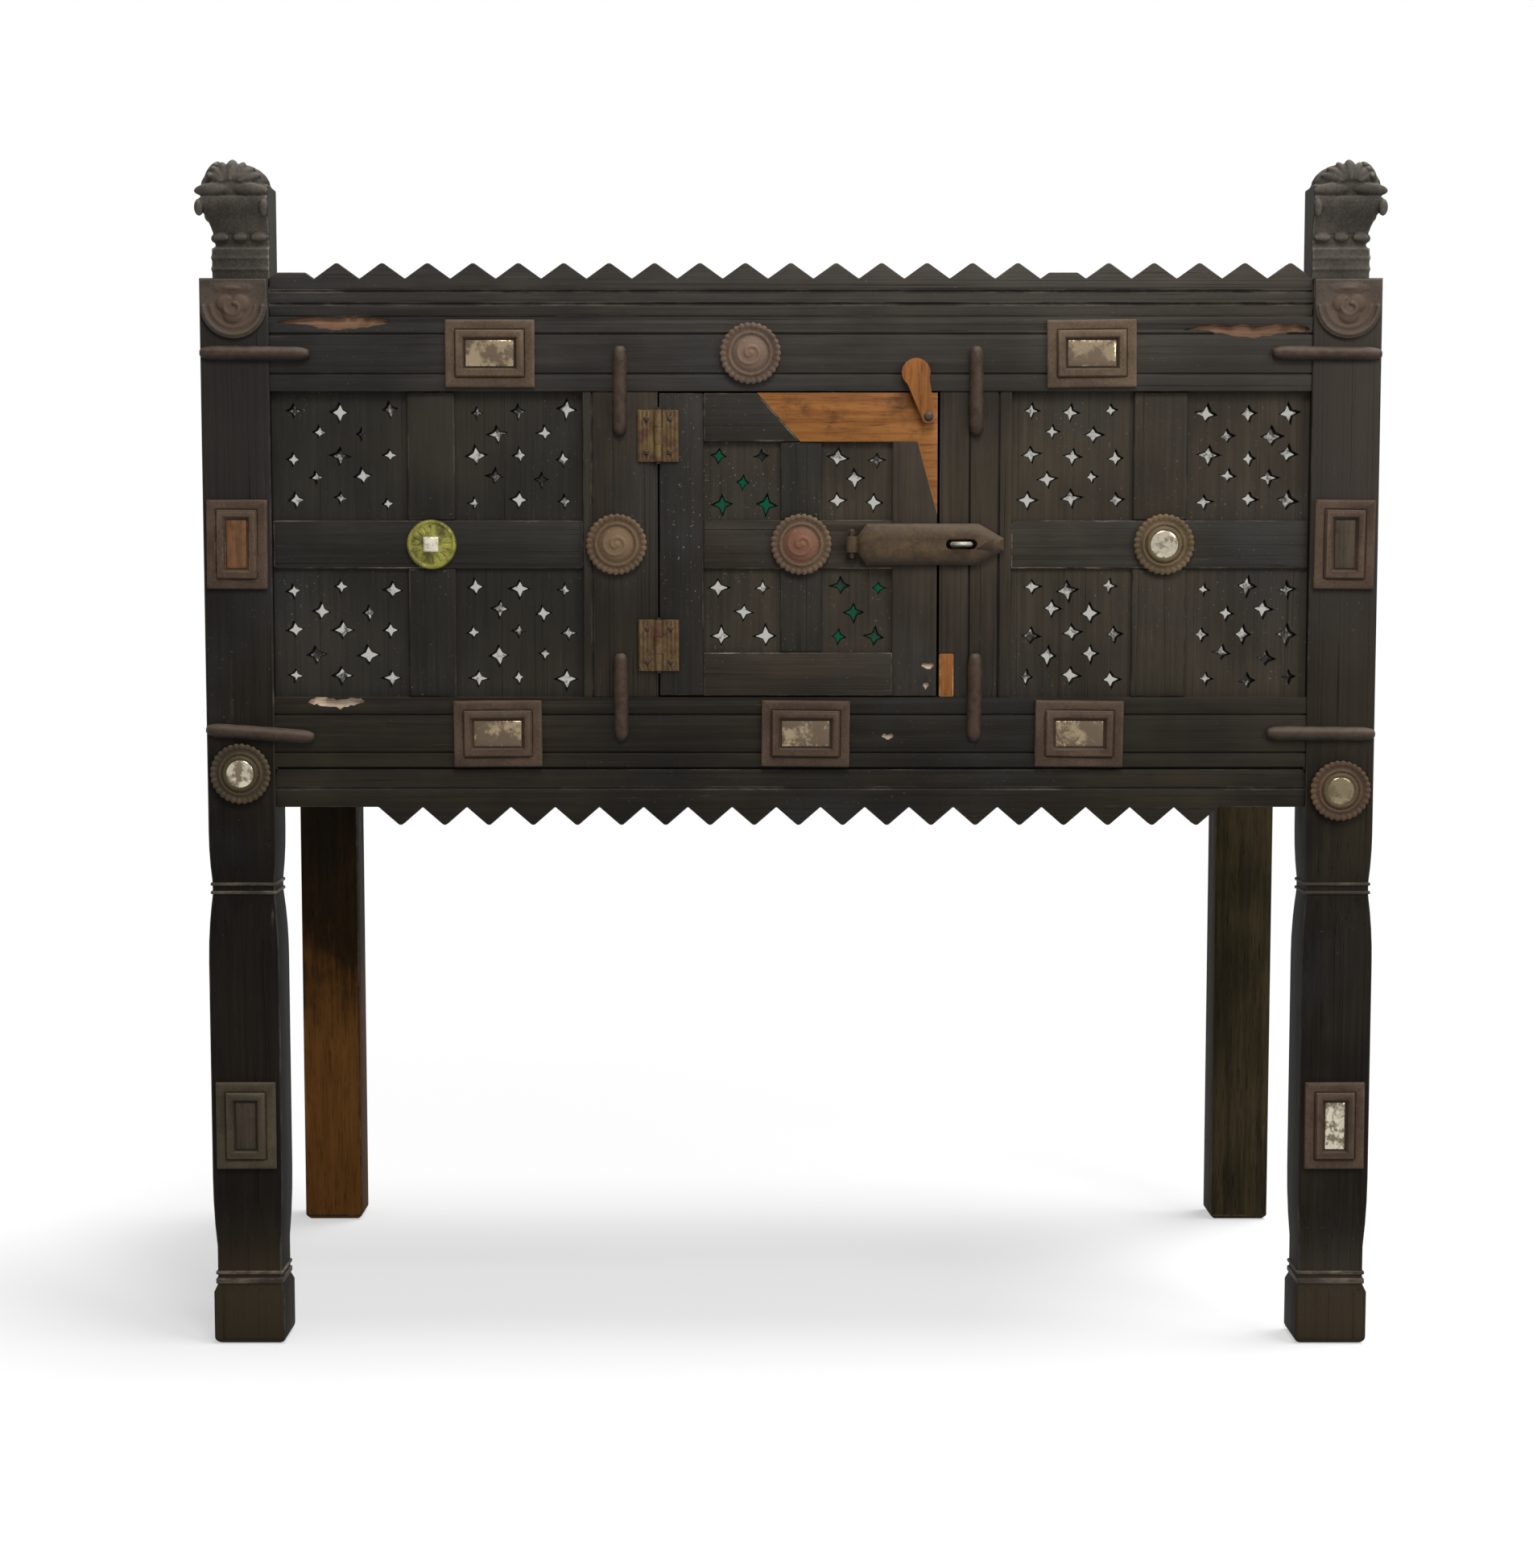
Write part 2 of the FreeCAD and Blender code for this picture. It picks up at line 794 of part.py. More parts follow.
def back_post(side, sign):
    """A plain square post with its ends chamfered."""
    label = f"back_post_{side}"
    body = new_body(f"{label}_form", sign * post_middle, behind(dim.case_depth - dim.post_depth / 2), 0)
    sketch = new_sketch(body, "XY_Plane")
    width, depth = dim.post_width / 2, dim.post_depth / 2
    rectangle(sketch, (-width, width), (-depth, depth))
    shaft = pad(body, sketch, rail_top + dim.back_post_rise)
    doc.recompute()
    faces = enumerate(shaft.Shape.Faces, start=1)
    ends = [f"Face{index}" for index, face in faces if abs(face.normalAt(0, 0).z) > 0.5]
    chamfer = body.newObject("PartDesign::Chamfer", f"{label}_ends")
    chamfer.Base = (shaft, ends)
    bind(chamfer, "Size", dim.back_post_chamfer)
    return finish(label, [body])


# Crest and apron


def toothed_board(label, root, valley, tip, teeth, count_name):
    """A board with a zigzag edge, cut as a row of notches in a plain block."""
    count = getattr(dim, count_name)
    body = new_body(f"{label}_form", 0, toothed_depth[1], 0)
    sketch = new_sketch(body, "XZ_Plane")
    rectangle(sketch, (-inner_half, inner_half), sorted((root, valley), key=lambda level: level.value))
    pad(body, sketch, dim.toothed_board_thickness)
    sketch = new_sketch(body, "XZ_Plane")
    rectangle(sketch, teeth, sorted((valley, tip), key=lambda level: level.value))
    pad(body, sketch, dim.toothed_board_thickness)
    pitch = (teeth[1] - teeth[0]) / count
    half_notch = (pitch - dim.tooth_flat) / 2
    past_tip = tip + (tip - valley)
    sketch = new_sketch(body, "XZ_Plane", dim.toothed_board_thickness)
    outline(
        sketch,
        [
            corner(teeth[0], valley),
            corner(teeth[0] + half_notch, tip),
            corner(teeth[0] + half_notch, past_tip),
            corner(teeth[0] - half_notch, past_tip),
            corner(teeth[0] - half_notch, tip),
        ],
    )
    notch = pocket(body, sketch, dim.toothed_board_thickness)
    row_pattern(body, notch, teeth[1] - teeth[0], count + 1)
    return body, pitch


def board_stubs(label, height):
    """Short tenons that hold a toothed board between the front posts."""
    stubs = []
    for side, sign in SIDES:
        across = mirrored(sign, inner_half, inner_half + dim.groove_depth)
        stub = box(f"{label}_{side}_stub", across, toothed_depth, height)
        stubs.append(let_in(stub, f"front_post_{side}"))
    return stubs


def scored(label, level, setback, across):
    """A line scored along a board's face."""
    depth = (behind(setback), behind(setback + dim.scored_line))
    return box(label, across, depth, (level - dim.scored_line / 2, level + dim.scored_line / 2))


def crest_board():
    tip = shoulder + dim.crest_tooth_height
    teeth = (-inner_half, inner_half)
    body, pitch = toothed_board("crest_board", rail_top, shoulder, tip, teeth, "crest_tooth_count")
    stubs = board_stubs("crest_board", (rail_top + dim.groove_depth, shoulder - dim.groove_depth))
    cuts = []
    for number in BROKEN_TEETH:
        centre = pitch * (number + 0.5) - inner_half
        across = (centre - pitch / 2, centre + pitch / 2)
        height = (tip - dim.broken_tip, tip + dim.broken_tip)
        cuts.append(box(f"crest_break_{number}", across, toothed_depth, height))
    third = dim.crest_height / 3
    for number in (1, 2):
        level = rail_top + third * number
        cuts.append(scored(f"crest_line_{number}", level, dim.toothed_board_setback, teeth))
    return finish("crest_board", [body] + stubs, cuts)


def apron_board():
    valley = rail_base - dim.apron_height
    tip = valley - dim.apron_tooth_height
    teeth = (dim.apron_plain_left - inner_half, inner_half - dim.apron_plain_right)
    body, _ = toothed_board("apron_board", rail_base, valley, tip, teeth, "apron_tooth_count")
    stubs = board_stubs("apron_board", (valley + dim.groove_depth, rail_base - dim.groove_depth))
    level = rail_base - dim.apron_height / 2
    line = scored("apron_line", level, dim.toothed_board_setback, (-inner_half, inner_half))
    return finish("apron_board", [body] + stubs, [line])


# Pierced star panels


def star_steps(u, v):
    """A four-pointed star: long points on the axes and a narrow waist between them."""
    point, waist = dim.star_size / 2, dim.star_waist
    steps = []
    for turn in range(4):
        along = ((0, 1), (1, 0), (0, -1), (-1, 0))[turn]
        between = ((1, 1), (1, -1), (-1, -1), (-1, 1))[turn]
        steps.append(corner(u + along[0] * point, v + along[1] * point))
        steps.append(corner(u + between[0] * waist, v + between[1] * waist))
    return steps


def star_panel(name, across, height, depth, thickness, groove, margin, columns):
    """A panel with a grid of stars and a second grid between them."""
    body = new_body(name, 0, depth[1], 0)
    sketch = new_sketch(body, "XZ_Plane")
    rectangle(sketch, (across[0] - groove, across[1] + groove), (height[0] - groove, height[1] + groove))
    pad(body, sketch, thickness)
    inset = margin + dim.star_size / 2
    step_x = (across[1] - across[0] - inset * 2) / (columns - 1)
    step_z = (height[1] - height[0] - inset * 2) / (columns - 1)
    for grid, shift in ((columns, 0), (columns - 1, 0.5)):
        sketch = new_sketch(body, "XZ_Plane", thickness)
        outline(sketch, star_steps(across[0] + inset + step_x * shift, height[0] + inset + step_z * shift))
        star = pocket(body, sketch, thickness)
        if grid == 1:
            continue
        pattern = row_pattern(body, star, step_x * (grid - 1), grid)
        pattern.Direction2 = (sketch, ["V_Axis"])
        bind(pattern, "Length2", step_z * (grid - 1))
        bind(pattern, "Occurrences2", grid)
    return body


# Side bays of the front


def bay(side, across, muntin_middle, muntin_width):
    """One bay: cross rail, two muntins, four star panels with mirrors and a backing board."""
    name = f"{side}_bay"
    post, jamb = f"front_post_{side}", f"door_jamb_{side}"
    groove = dim.groove_depth
    outer = (across[0] - groove, across[1] + groove)
    panel_groove = box(f"{name}_groove", outer, panel_depth, groove_height)
    let_in(panel_groove, post, jamb, "front_top_rail", "front_bottom_rail")
    muntin = (muntin_middle - muntin_width / 2, muntin_middle + muntin_width / 2)
    muntin_core = (muntin[0] + groove, muntin[1] - groove)
    rail_core = (cross_low + groove, cross_high - groove)
    fields_x = ((across[0], muntin[0]), (muntin[1], across[1]))
    fields_z = ((opening_low, cross_low), (cross_high, opening_high))

    rail = box(f"{name}_rail_bar", across, member_depth, (cross_low, cross_high))
    stub = box(f"{name}_rail_stub", outer, panel_depth, rail_core)
    channels = []
    for level, height in (("low", (cross_low, rail_core[0])), ("high", (rail_core[1], cross_high))):
        channels.append(box(f"{name}_rail_channel_{level}", across, panel_depth, height))
    finish(f"{name}_cross_rail", [rail, stub], channels)

    muntins, panels, mirrors = [], [], []
    for level, height in zip(("lower", "upper"), fields_z):
        bar = box(f"{name}_{level}_muntin", muntin, member_depth, height)
        stub_height = (height[0] - groove, height[1] + groove)
        stub = box(f"{name}_{level}_muntin_stub", muntin_core, panel_depth, stub_height)
        channels = [
            box(f"{name}_{level}_muntin_channel_0", (muntin[0], muntin_core[0]), panel_depth, height),
            box(f"{name}_{level}_muntin_channel_1", (muntin_core[1], muntin[1]), panel_depth, height),
        ]
        whole = fuse(f"{name}_{level}_muntin_whole", [bar, stub])
        muntins.append(carve(f"{name}_{level}_muntin_piece", whole, channels))
        for index, field in enumerate(fields_x):
            spot = f"{name}_{level}_{index}"
            panels.append(
                star_panel(
                    f"{spot}_panel", field, height, panel_depth, dim.panel_thickness, groove, dim.star_margin, 3
                )
            )
            mirrors.append(box(f"{spot}_mirror", field, mirror_depth, height))
    node(f"{name}_muntins", group(f"{name}_muntins", muntins))
    node(f"{name}_fret_panels", group(f"{name}_fret_panels", panels))
    node(f"{name}_mirrors", group(f"{name}_mirrors", mirrors))
    return box(f"{name}_backing_board", across, backing_depth, (opening_low, opening_high))


def door_jamb(side, across):
    """An upright beside the door, tenoned into both rails."""
    label = f"door_jamb_{side}"
    bar = box(f"{label}_bar", across, jamb_depth, (opening_low, opening_high))
    core = (across[0] + dim.tenon_edge, across[1] - dim.tenon_edge)
    low = box(f"{label}_low_tenon", core, tenon_depth, (opening_low - dim.jamb_tenon_length, opening_low))
    high = box(f"{label}_high_tenon", core, tenon_depth, (opening_high, opening_high + dim.jamb_tenon_length))
    let_in(low, "front_bottom_rail")
    let_in(high, "front_top_rail")
    return label, [bar, low, high]


# Door

door_face = dim.jamb_setback
hinge_axis_x = doorway_left + dim.door_gap / 2
hinge_axis_back = door_face - dim.knuckle_radius - dim.hinge_clearance
hinge_offset = dim.knuckle_radius + dim.hinge_clearance
swing_room = (hinge_offset + dim.door_thickness) * (hinge_offset + dim.door_thickness) / (dim.doorway_width * 2)
door_left = doorway_left + dim.door_gap
door_right = doorway_right - dim.door_gap / 2 - swing_room
door_low = opening_low + dim.door_gap
door_high = opening_high - dim.door_gap
field_left = door_left + dim.door_stile_width
field_right = door_right - dim.door_stile_width
field_low = door_low + dim.door_bottom_rail_height
field_high = door_high - dim.door_top_rail_height
door_depth = (behind(door_face), behind(door_face + dim.door_thickness))
door_panel_front = door_face + dim.door_panel_setback
door_panel_back = door_panel_front + dim.door_panel_thickness
door_member_front = door_face + dim.door_member_setback
door_member_back = door_panel_back + dim.door_mirror_thickness
door_member_depth = (behind(door_member_front), behind(door_member_back))
door_panel_depth = (behind(door_panel_front), behind(door_panel_back))
door_mirror_depth = (behind(door_panel_back), behind(door_member_back))
door_backing_depth = (behind(door_member_back), behind(door_member_back + dim.door_backing_thickness))
door_tenon_front = door_face + dim.door_tenon_setback
door_tenon_depth = (behind(door_tenon_front), behind(door_tenon_front + dim.door_tenon_thickness))
door_muntin_middle = (field_left + field_right) / 2 + dim.door_muntin_shift


def door_frame():
    """Stiles, rails, cross rail and muntins, with the grooves for the star panels."""
    groove = dim.groove_depth
    outer_x = (field_left - groove, field_right + groove)
    outer_z = (field_low - groove, field_high + groove)
    panel_groove = box("door_panel_groove", outer_x, door_panel_depth, outer_z)
    let_in(panel_groove, "door_hinge_stile", "door_lock_stile", "door_top_rail", "door_bottom_rail")
    for level, height in (("top", (field_high, door_high)), ("bottom", (door_low, field_low))):
        label = f"door_{level}_rail"
        pieces = [box(f"{label}_bar", (field_left, field_right), door_depth, height)]
        tenon_height = (height[0] + dim.door_tenon_edge, height[1] - dim.door_tenon_edge)
        for stile, across in (
            ("door_hinge_stile", (field_left - dim.door_tenon_length, field_left)),
            ("door_lock_stile", (field_right, field_right + dim.door_tenon_length)),
        ):
            tenon = box(f"{label}_{stile}_tenon", across, door_tenon_depth, tenon_height)
            pieces.append(let_in(tenon, stile))
        finish(label, pieces)
    for label, across in (
        ("door_hinge_stile", (door_left, field_left)),
        ("door_lock_stile", (field_right, door_right)),
    ):
        finish(label, [box(f"{label}_bar", across, door_depth, (door_low, door_high))])

    rail_core = (cross_low + groove, cross_high - groove)
    rail = box("door_cross_rail_bar", (field_left, field_right), door_member_depth, (cross_low, cross_high))
    stub = box("door_cross_rail_stub", outer_x, door_panel_depth, rail_core)
    channels = []
    for level, height in (("low", (cross_low, rail_core[0])), ("high", (rail_core[1], cross_high))):
        channel = box(f"door_cross_rail_channel_{level}", (field_left, field_right), door_panel_depth, height)
        channels.append(channel)
    finish("door_cross_rail", [rail, stub], channels)


def door_fields():
    """Muntins, star panels and mirrors; the green mirrors lie on one diagonal."""
    groove = dim.groove_depth
    muntin = (door_muntin_middle - dim.door_muntin_width / 2, door_muntin_middle + dim.door_muntin_width / 2)
    core = (muntin[0] + groove, muntin[1] - groove)
    fields_x = ((field_left, muntin[0]), (muntin[1], field_right))
    fields_z = ((field_low, cross_low), (cross_high, field_high))
    muntins, panels = [], []
    mirrors = {"clear": [], "green": []}
    for row, height in enumerate(fields_z):
        bar = box(f"door_muntin_{row}_bar", muntin, door_member_depth, height)
        stub = box(f"door_muntin_{row}_stub", core, door_panel_depth, (height[0] - groove, height[1] + groove))
        channels = [
            box(f"door_muntin_{row}_channel_0", (muntin[0], core[0]), door_panel_depth, height),
            box(f"door_muntin_{row}_channel_1", (core[1], muntin[1]), door_panel_depth, height),
        ]
        muntins.append(carve(f"door_muntin_{row}", fuse(f"door_muntin_{row}_whole", [bar, stub]), channels))
        for column, field in enumerate(fields_x):
            spot = f"door_{row}_{column}"
            thickness = dim.door_panel_thickness
            panels.append(
                star_panel(
                    f"{spot}_panel", field, height, door_panel_depth, thickness, groove, dim.door_star_margin, 2
                )
            )
            tint = "clear" if row == column else "green"
            mirrors[tint].append(box(f"{spot}_mirror", field, door_mirror_depth, height))
    node("door_muntins", group("door_muntins", muntins))
    node("door_fret_panels", group("door_fret_panels", panels))
    for tint, pieces in mirrors.items():
        node(f"door_{tint}_mirrors", group(f"door_{tint}_mirrors", pieces))
    backing = box("door_backing_board", (field_left, field_right), door_backing_depth, (field_low, field_high))
    node("door_backing", backing)


def door_patch():
    """Bare wood let into the top rail and the lock stile: scarfed at one end, tapered down the stile."""
    body = new_body("door_patch_form", 0, behind(door_face + dim.patch_depth), 0)
    sketch = new_sketch(body, "XZ_Plane")
    outline(
        sketch,
        [
            corner(door_right - dim.patch_length, door_high),
            corner(door_right - dim.patch_length + dim.patch_scarf, field_high),
            corner(door_right - dim.patch_tail_width, field_high),
            corner(door_right, field_high - dim.patch_tail),
            corner(door_right, door_high),
        ],
    )
    pad(body, sketch, dim.patch_depth)
    return let_in(body, "door_top_rail", "door_lock_stile")


def jamb_patch():
    """A sliver of bare wood at the foot of the right jamb."""
    across = (doorway_right, doorway_right + dim.jamb_patch_width)
    depth = (behind(dim.jamb_setback), behind(dim.jamb_setback + dim.patch_depth))
    piece = box("jamb_patch_piece", across, depth, (opening_low, opening_low + dim.jamb_patch_height))
    return let_in(piece, "door_jamb_right")


# Hinges

hinge_axis_y = behind(hinge_axis_back)
hinge_middles = (
    door_low + dim.lower_hinge_inset + dim.hinge_height / 2,
    door_high - dim.upper_hinge_inset - dim.hinge_height / 2,
)


def hinge_leaf(name, middle, sign):
    """One leaf with its knuckles: two on the jamb leaf, one between them on the door leaf."""
    low = middle - dim.hinge_height / 2
    third = dim.hinge_height / 3
    leaf_depth = (behind(door_face - dim.hinge_leaf_thickness), behind(door_face))
    edge = dim.knuckle_radius + dim.knuckle_gap
    if sign > 0:
        plate_x = (hinge_axis_x + edge, hinge_axis_x + dim.hinge_leaf_width)
        arm_x = (hinge_axis_x, hinge_axis_x + edge)
        turns = (1,)
    else:
        plate_x = (hinge_axis_x - dim.hinge_leaf_width, hinge_axis_x - edge)
        arm_x = (hinge_axis_x - edge, hinge_axis_x)
        turns = (0, 2)
    pieces = [box(f"{name}_plate", plate_x, leaf_depth, (low, low + dim.hinge_height))]
    for turn in turns:
        start = low + third * turn + dim.knuckle_gap / 2
        length = third - dim.knuckle_gap
        pieces.append(box(f"{name}_arm_{turn}", arm_x, leaf_depth, (start, start + length)))
        knuckle = rod(f"{name}_knuckle_{turn}", dim.knuckle_radius, length, hinge_axis_x, hinge_axis_y, start)
        pieces.append(knuckle)
    bore_radius = dim.hinge_pin_radius + dim.pin_clearance
    bore = rod(f"{name}_bore", bore_radius, dim.hinge_height, hinge_axis_x, hinge_axis_y, low)
    return carve(name, fuse(f"{name}_whole", pieces), [bore])


def hinges():
    """Two surface hinges: jamb leaves, door leaves and pins."""
    jamb_leaves, door_leaves, pins = [], [], []
    for index, middle in enumerate(hinge_middles):
        jamb_leaves.append(hinge_leaf(f"hinge_{index}_jamb_leaf", middle, -1))
        door_leaves.append(hinge_leaf(f"hinge_{index}_door_leaf", middle, 1))
        low = middle - dim.hinge_height / 2 - dim.pin_end
        length = dim.hinge_height + dim.pin_end * 2
        pins.append(rod(f"hinge_{index}_pin", dim.hinge_pin_radius, length, hinge_axis_x, hinge_axis_y, low))
    node("hinge_jamb_leaves", group("hinge_jamb_leaves", jamb_leaves))
    node("hinge_door_leaves", group("hinge_door_leaves", door_leaves))
    node("hinge_pins", group("hinge_pins", pins))


# Hasp and staples

hasp_axis_x = field_right - dim.hasp_pin_inset
hasp_eye_radius = dim.wire_radius + dim.pin_clearance + dim.hasp_eye_wall
hasp_back = door_face - dim.hasp_clearance
hasp_axis_back = hasp_back - dim.hasp_thickness - dim.pin_clearance
hasp_axis_y = behind(hasp_axis_back)
lock_staple_x = doorway_right + dim.lock_staple_inset


def hasp():
    """A boat-shaped strap with a slot, rolled into an eye at its door end."""
    body = new_body("hasp_strap", hasp_axis_x, behind(hasp_back), cross_middle)
    sketch = new_sketch(body, "XZ_Plane")
    neck, half, tip = dim.hasp_neck_height / 2, dim.hasp_height / 2, dim.hasp_tip_height / 2
    waist = dim.hasp_shoulder + dim.hasp_straight
    outline(
        sketch,
        [
            corner(0, -neck),
            corner(dim.hasp_neck_length, -neck),
            corner(dim.hasp_shoulder, -half),
            corner(waist, -half),
            corner(dim.hasp_length, -tip),
            corner(dim.hasp_length, tip),
            corner(waist, half),
            corner(dim.hasp_shoulder, half),
            corner(dim.hasp_neck_length, neck),
            corner(0, neck),
        ],
    )
    pad(body, sketch, dim.hasp_thickness)
    sketch = new_sketch(body, "XZ_Plane", dim.hasp_thickness)
    slot_middle = lock_staple_x - hasp_axis_x
    rise = dim.slot_height / 2
    reach = dim.slot_length / 2 - rise
    left, right = slot_middle - reach, slot_middle + reach
    outline(
        sketch,
        [
            bend(left, -rise, centre_u=left + dim.slot_end_bow),
            corner(right, -rise),
            bend(right, rise, centre_u=right - dim.slot_end_bow),
            corner(left, rise),
        ],
    )
    pocket(body, sketch, dim.hasp_thickness)
    eye_low = cross_middle - neck
    eye = rod("hasp_eye", hasp_eye_radius, dim.hasp_neck_height, hasp_axis_x, hasp_axis_y, eye_low)
    bore_radius = dim.wire_radius + dim.pin_clearance
    bore = rod("hasp_bore", bore_radius, dim.hasp_neck_height, hasp_axis_x, hasp_axis_y, eye_low)
    node("hasp", carve("hasp", fuse("hasp_whole", [body, eye]), [bore]))


def wire_staple():
    """The bent wire on the door that the hasp swings on."""
    half = dim.wire_staple_span / 2
    low, high = cross_middle - half, cross_middle + half
    radius = dim.wire_radius
    pieces = [rod("wire_staple_bar", radius, dim.wire_staple_span, hasp_axis_x, hasp_axis_y, low)]
    for name, level in (("low", low), ("high", high)):
        ball = doc.addObject("Part::Sphere", f"wire_staple_{name}_bend")
        bind(ball, "Radius", radius)
        place(ball, hasp_axis_x, hasp_axis_y, level)
        length = dim.wire_staple_depth
        leg = rod(f"wire_staple_{name}_leg", radius, length, hasp_axis_x, hasp_axis_y, level, backwards=True)
        pieces += [ball, let_in(leg, "door_cross_rail")]
    return pieces


def lock_staple():
    """The loop on the jamb that passes through the hasp and takes the padlock."""
    half, radius = dim.lock_staple_span / 2, dim.wire_radius
    bow_y = behind(dim.jamb_setback - dim.lock_staple_reach) + half + radius
    leg_end = behind(dim.jamb_setback + dim.lock_staple_depth)
    bow = doc.addObject("Part::Torus", "lock_staple_bow")
    bind(bow, "Radius1", half)
    bind(bow, "Radius2", radius)
    bow.Angle3 = 180
    bow.Placement.Rotation = FreeCAD.Rotation(FreeCAD.Vector(0, 0, 1), 180)
    place(bow, lock_staple_x, bow_y, cross_middle)
    pieces = [bow]
    for side, sign in SIDES:
        x = lock_staple_x + half * sign
        leg = rod(f"lock_staple_{side}_leg", radius, leg_end - bow_y, x, bow_y, cross_middle, backwards=True)
        pieces.append(let_in(leg, "door_jamb_right"))
    return pieces


# Turn-button

button_x = door_right - dim.button_inset
button_z = door_high - dim.button_drop
button_back = dim.rail_setback - dim.button_clearance


def turn_button():
    """A spoon-shaped button: a round head on a tapering stem, turning on its nail at the narrow end."""
    body = doc.addObject("PartDesign::Body", "turn_button_form")
    body.Placement.Rotation = FreeCAD.Rotation(FreeCAD.Vector(0, -1, 0), SIZES["button_tilt"])
    bind(body, "Placement.Rotation.Angle", dim.button_tilt)
    place(body, button_x, behind(button_back), button_z)
    sketch = new_sketch(body, "XZ_Plane")
    tail, shoulder_half, length = dim.button_tail_radius, dim.button_shoulder, dim.button_length
    head_low, head_high = length - dim.button_shoulder_drop, length + dim.button_shoulder_drop
    outline(
        sketch,
        [
            corner(-tail, 0),
            bend(0, -tail, centre_u=0),
            bend(tail, 0, centre_u=0),
            corner(shoulder_half, head_low),
            bend(shoulder_half, head_high, centre_u=0),
            bend(-shoulder_half, head_high, centre_v=length),
            bend(-shoulder_half, head_low, centre_u=0),
        ],
    )
    pad(body, sketch, dim.button_thickness)
    seat = door_face - dim.button_clearance - button_back
    boss = rod("turn_button_boss", tail, seat, button_x, behind(button_back), button_z, backwards=True)
    hole_radius = dim.button_nail_radius + dim.pin_clearance
    front = behind(button_back - dim.button_thickness)
    hole_length = dim.button_thickness + seat
    hole = rod("turn_button_hole", hole_radius, hole_length, button_x, front, button_z, backwards=True)
    node("turn_button", carve("turn_button", fuse("turn_button_whole", [body, boss]), [hole]))


def button_nail():
    """The nail that the button turns on, driven through the patch into the lock stile."""
    head_back = button_back - dim.button_thickness - dim.button_clearance
    length = door_face + dim.button_nail_depth - head_back
    radius, y = dim.button_nail_radius, behind(head_back)
    shank = rod("button_nail_shank", radius, length, button_x, y, button_z, backwards=True)
    head = doc.addObject("Part::Cone", "button_nail_cap")
    bind(head, "Radius1", radius)
    bind(head, "Radius2", dim.button_nail_head)
    bind(head, "Height", dim.button_nail_head_height)
    head.Placement.Rotation = FreeCAD.Rotation(FreeCAD.Vector(1, 0, 0), -90)
    place(head, button_x, behind(head_back - dim.button_nail_head_height), button_z)
    let_in(shank, "door_lock_stile", "door_patch")
    return [shank, head]


# Plaques, rosettes, shields and the brass disc


def plaque(name, x, seat, z, width, height):
    """A stepped frame with a sunk mirror; gives the frame and its mirror."""
    half_x, half_z = width / 2, height / 2
    body = new_body(name, x, behind(seat), z)
    sketch = new_sketch(body, "XZ_Plane")
    rectangle(sketch, (-half_x, half_x), (-half_z, half_z))
    pad(body, sketch, dim.plaque_base, slope=-dim.plaque_slope)
    sketch = new_sketch(body, "XZ_Plane", dim.plaque_base)
    step_x, step_z = half_x - dim.plaque_step, half_z - dim.plaque_step
    rectangle(sketch, (-step_x, step_x), (-step_z, step_z))
    pad(body, sketch, dim.plaque_rise, slope=-dim.plaque_slope)
    mirror_x, mirror_z = half_x - dim.plaque_mirror_margin, half_z - dim.plaque_mirror_margin
    rise = dim.plaque_base + dim.plaque_rise
    sketch = new_sketch(body, "XZ_Plane", rise)
    rectangle(sketch, (-mirror_x, mirror_x), (-mirror_z, mirror_z))
    pocket(body, sketch, rise - dim.plaque_mirror_floor)
    floor = seat - dim.plaque_mirror_floor
    depth = (behind(floor - dim.plaque_mirror_thickness), behind(floor))
    mirror = box(f"{name}_mirror", (x - mirror_x, x + mirror_x), depth, (z - mirror_z, z + mirror_z))
    return body, mirror


def plaques():
    """Five plaques along the rails, four on the posts."""
    rail_spots = (
        ("top_left", left_jamb_outer - dim.top_left_plaque_inset, top_rail_middle),
        ("top_right", right_jamb_outer + dim.top_right_plaque_inset, top_rail_middle),
        ("bottom_left", left_jamb_outer - dim.bottom_left_plaque_inset, bottom_rail_middle),
        ("bottom_middle", doorway_middle + dim.middle_plaque_shift, bottom_rail_middle),
        ("bottom_right", right_jamb_outer + dim.bottom_right_plaque_inset, bottom_rail_middle),
    )
    frames, mirrors = [], []
    for name, x, z in rail_spots:
        spot = f"plaque_{name}"
        frame, mirror = plaque(spot, x, dim.rail_setback, z, dim.plaque_length, dim.plaque_breadth)
        frames.append(frame)
        mirrors.append(mirror)
    node("rail_plaques", group("rail_plaques", frames))
    frames = []
    for side, sign in SIDES:
        x = sign * post_middle
        heights = (("post", as_size(0), cross_middle), ("leg", -dim.belly_swell, dim.leg_plaque_height))
        for name, seat, z in heights:
            spot = f"plaque_{name}_{side}"
            frame, mirror = plaque(spot, x, seat, z, dim.post_plaque_breadth, dim.plaque_length)
            frames.append(frame)
            mirrors.append(mirror)
    node("post_plaques", group("post_plaques", frames))
    node("plaque_mirrors", group("plaque_mirrors", mirrors))


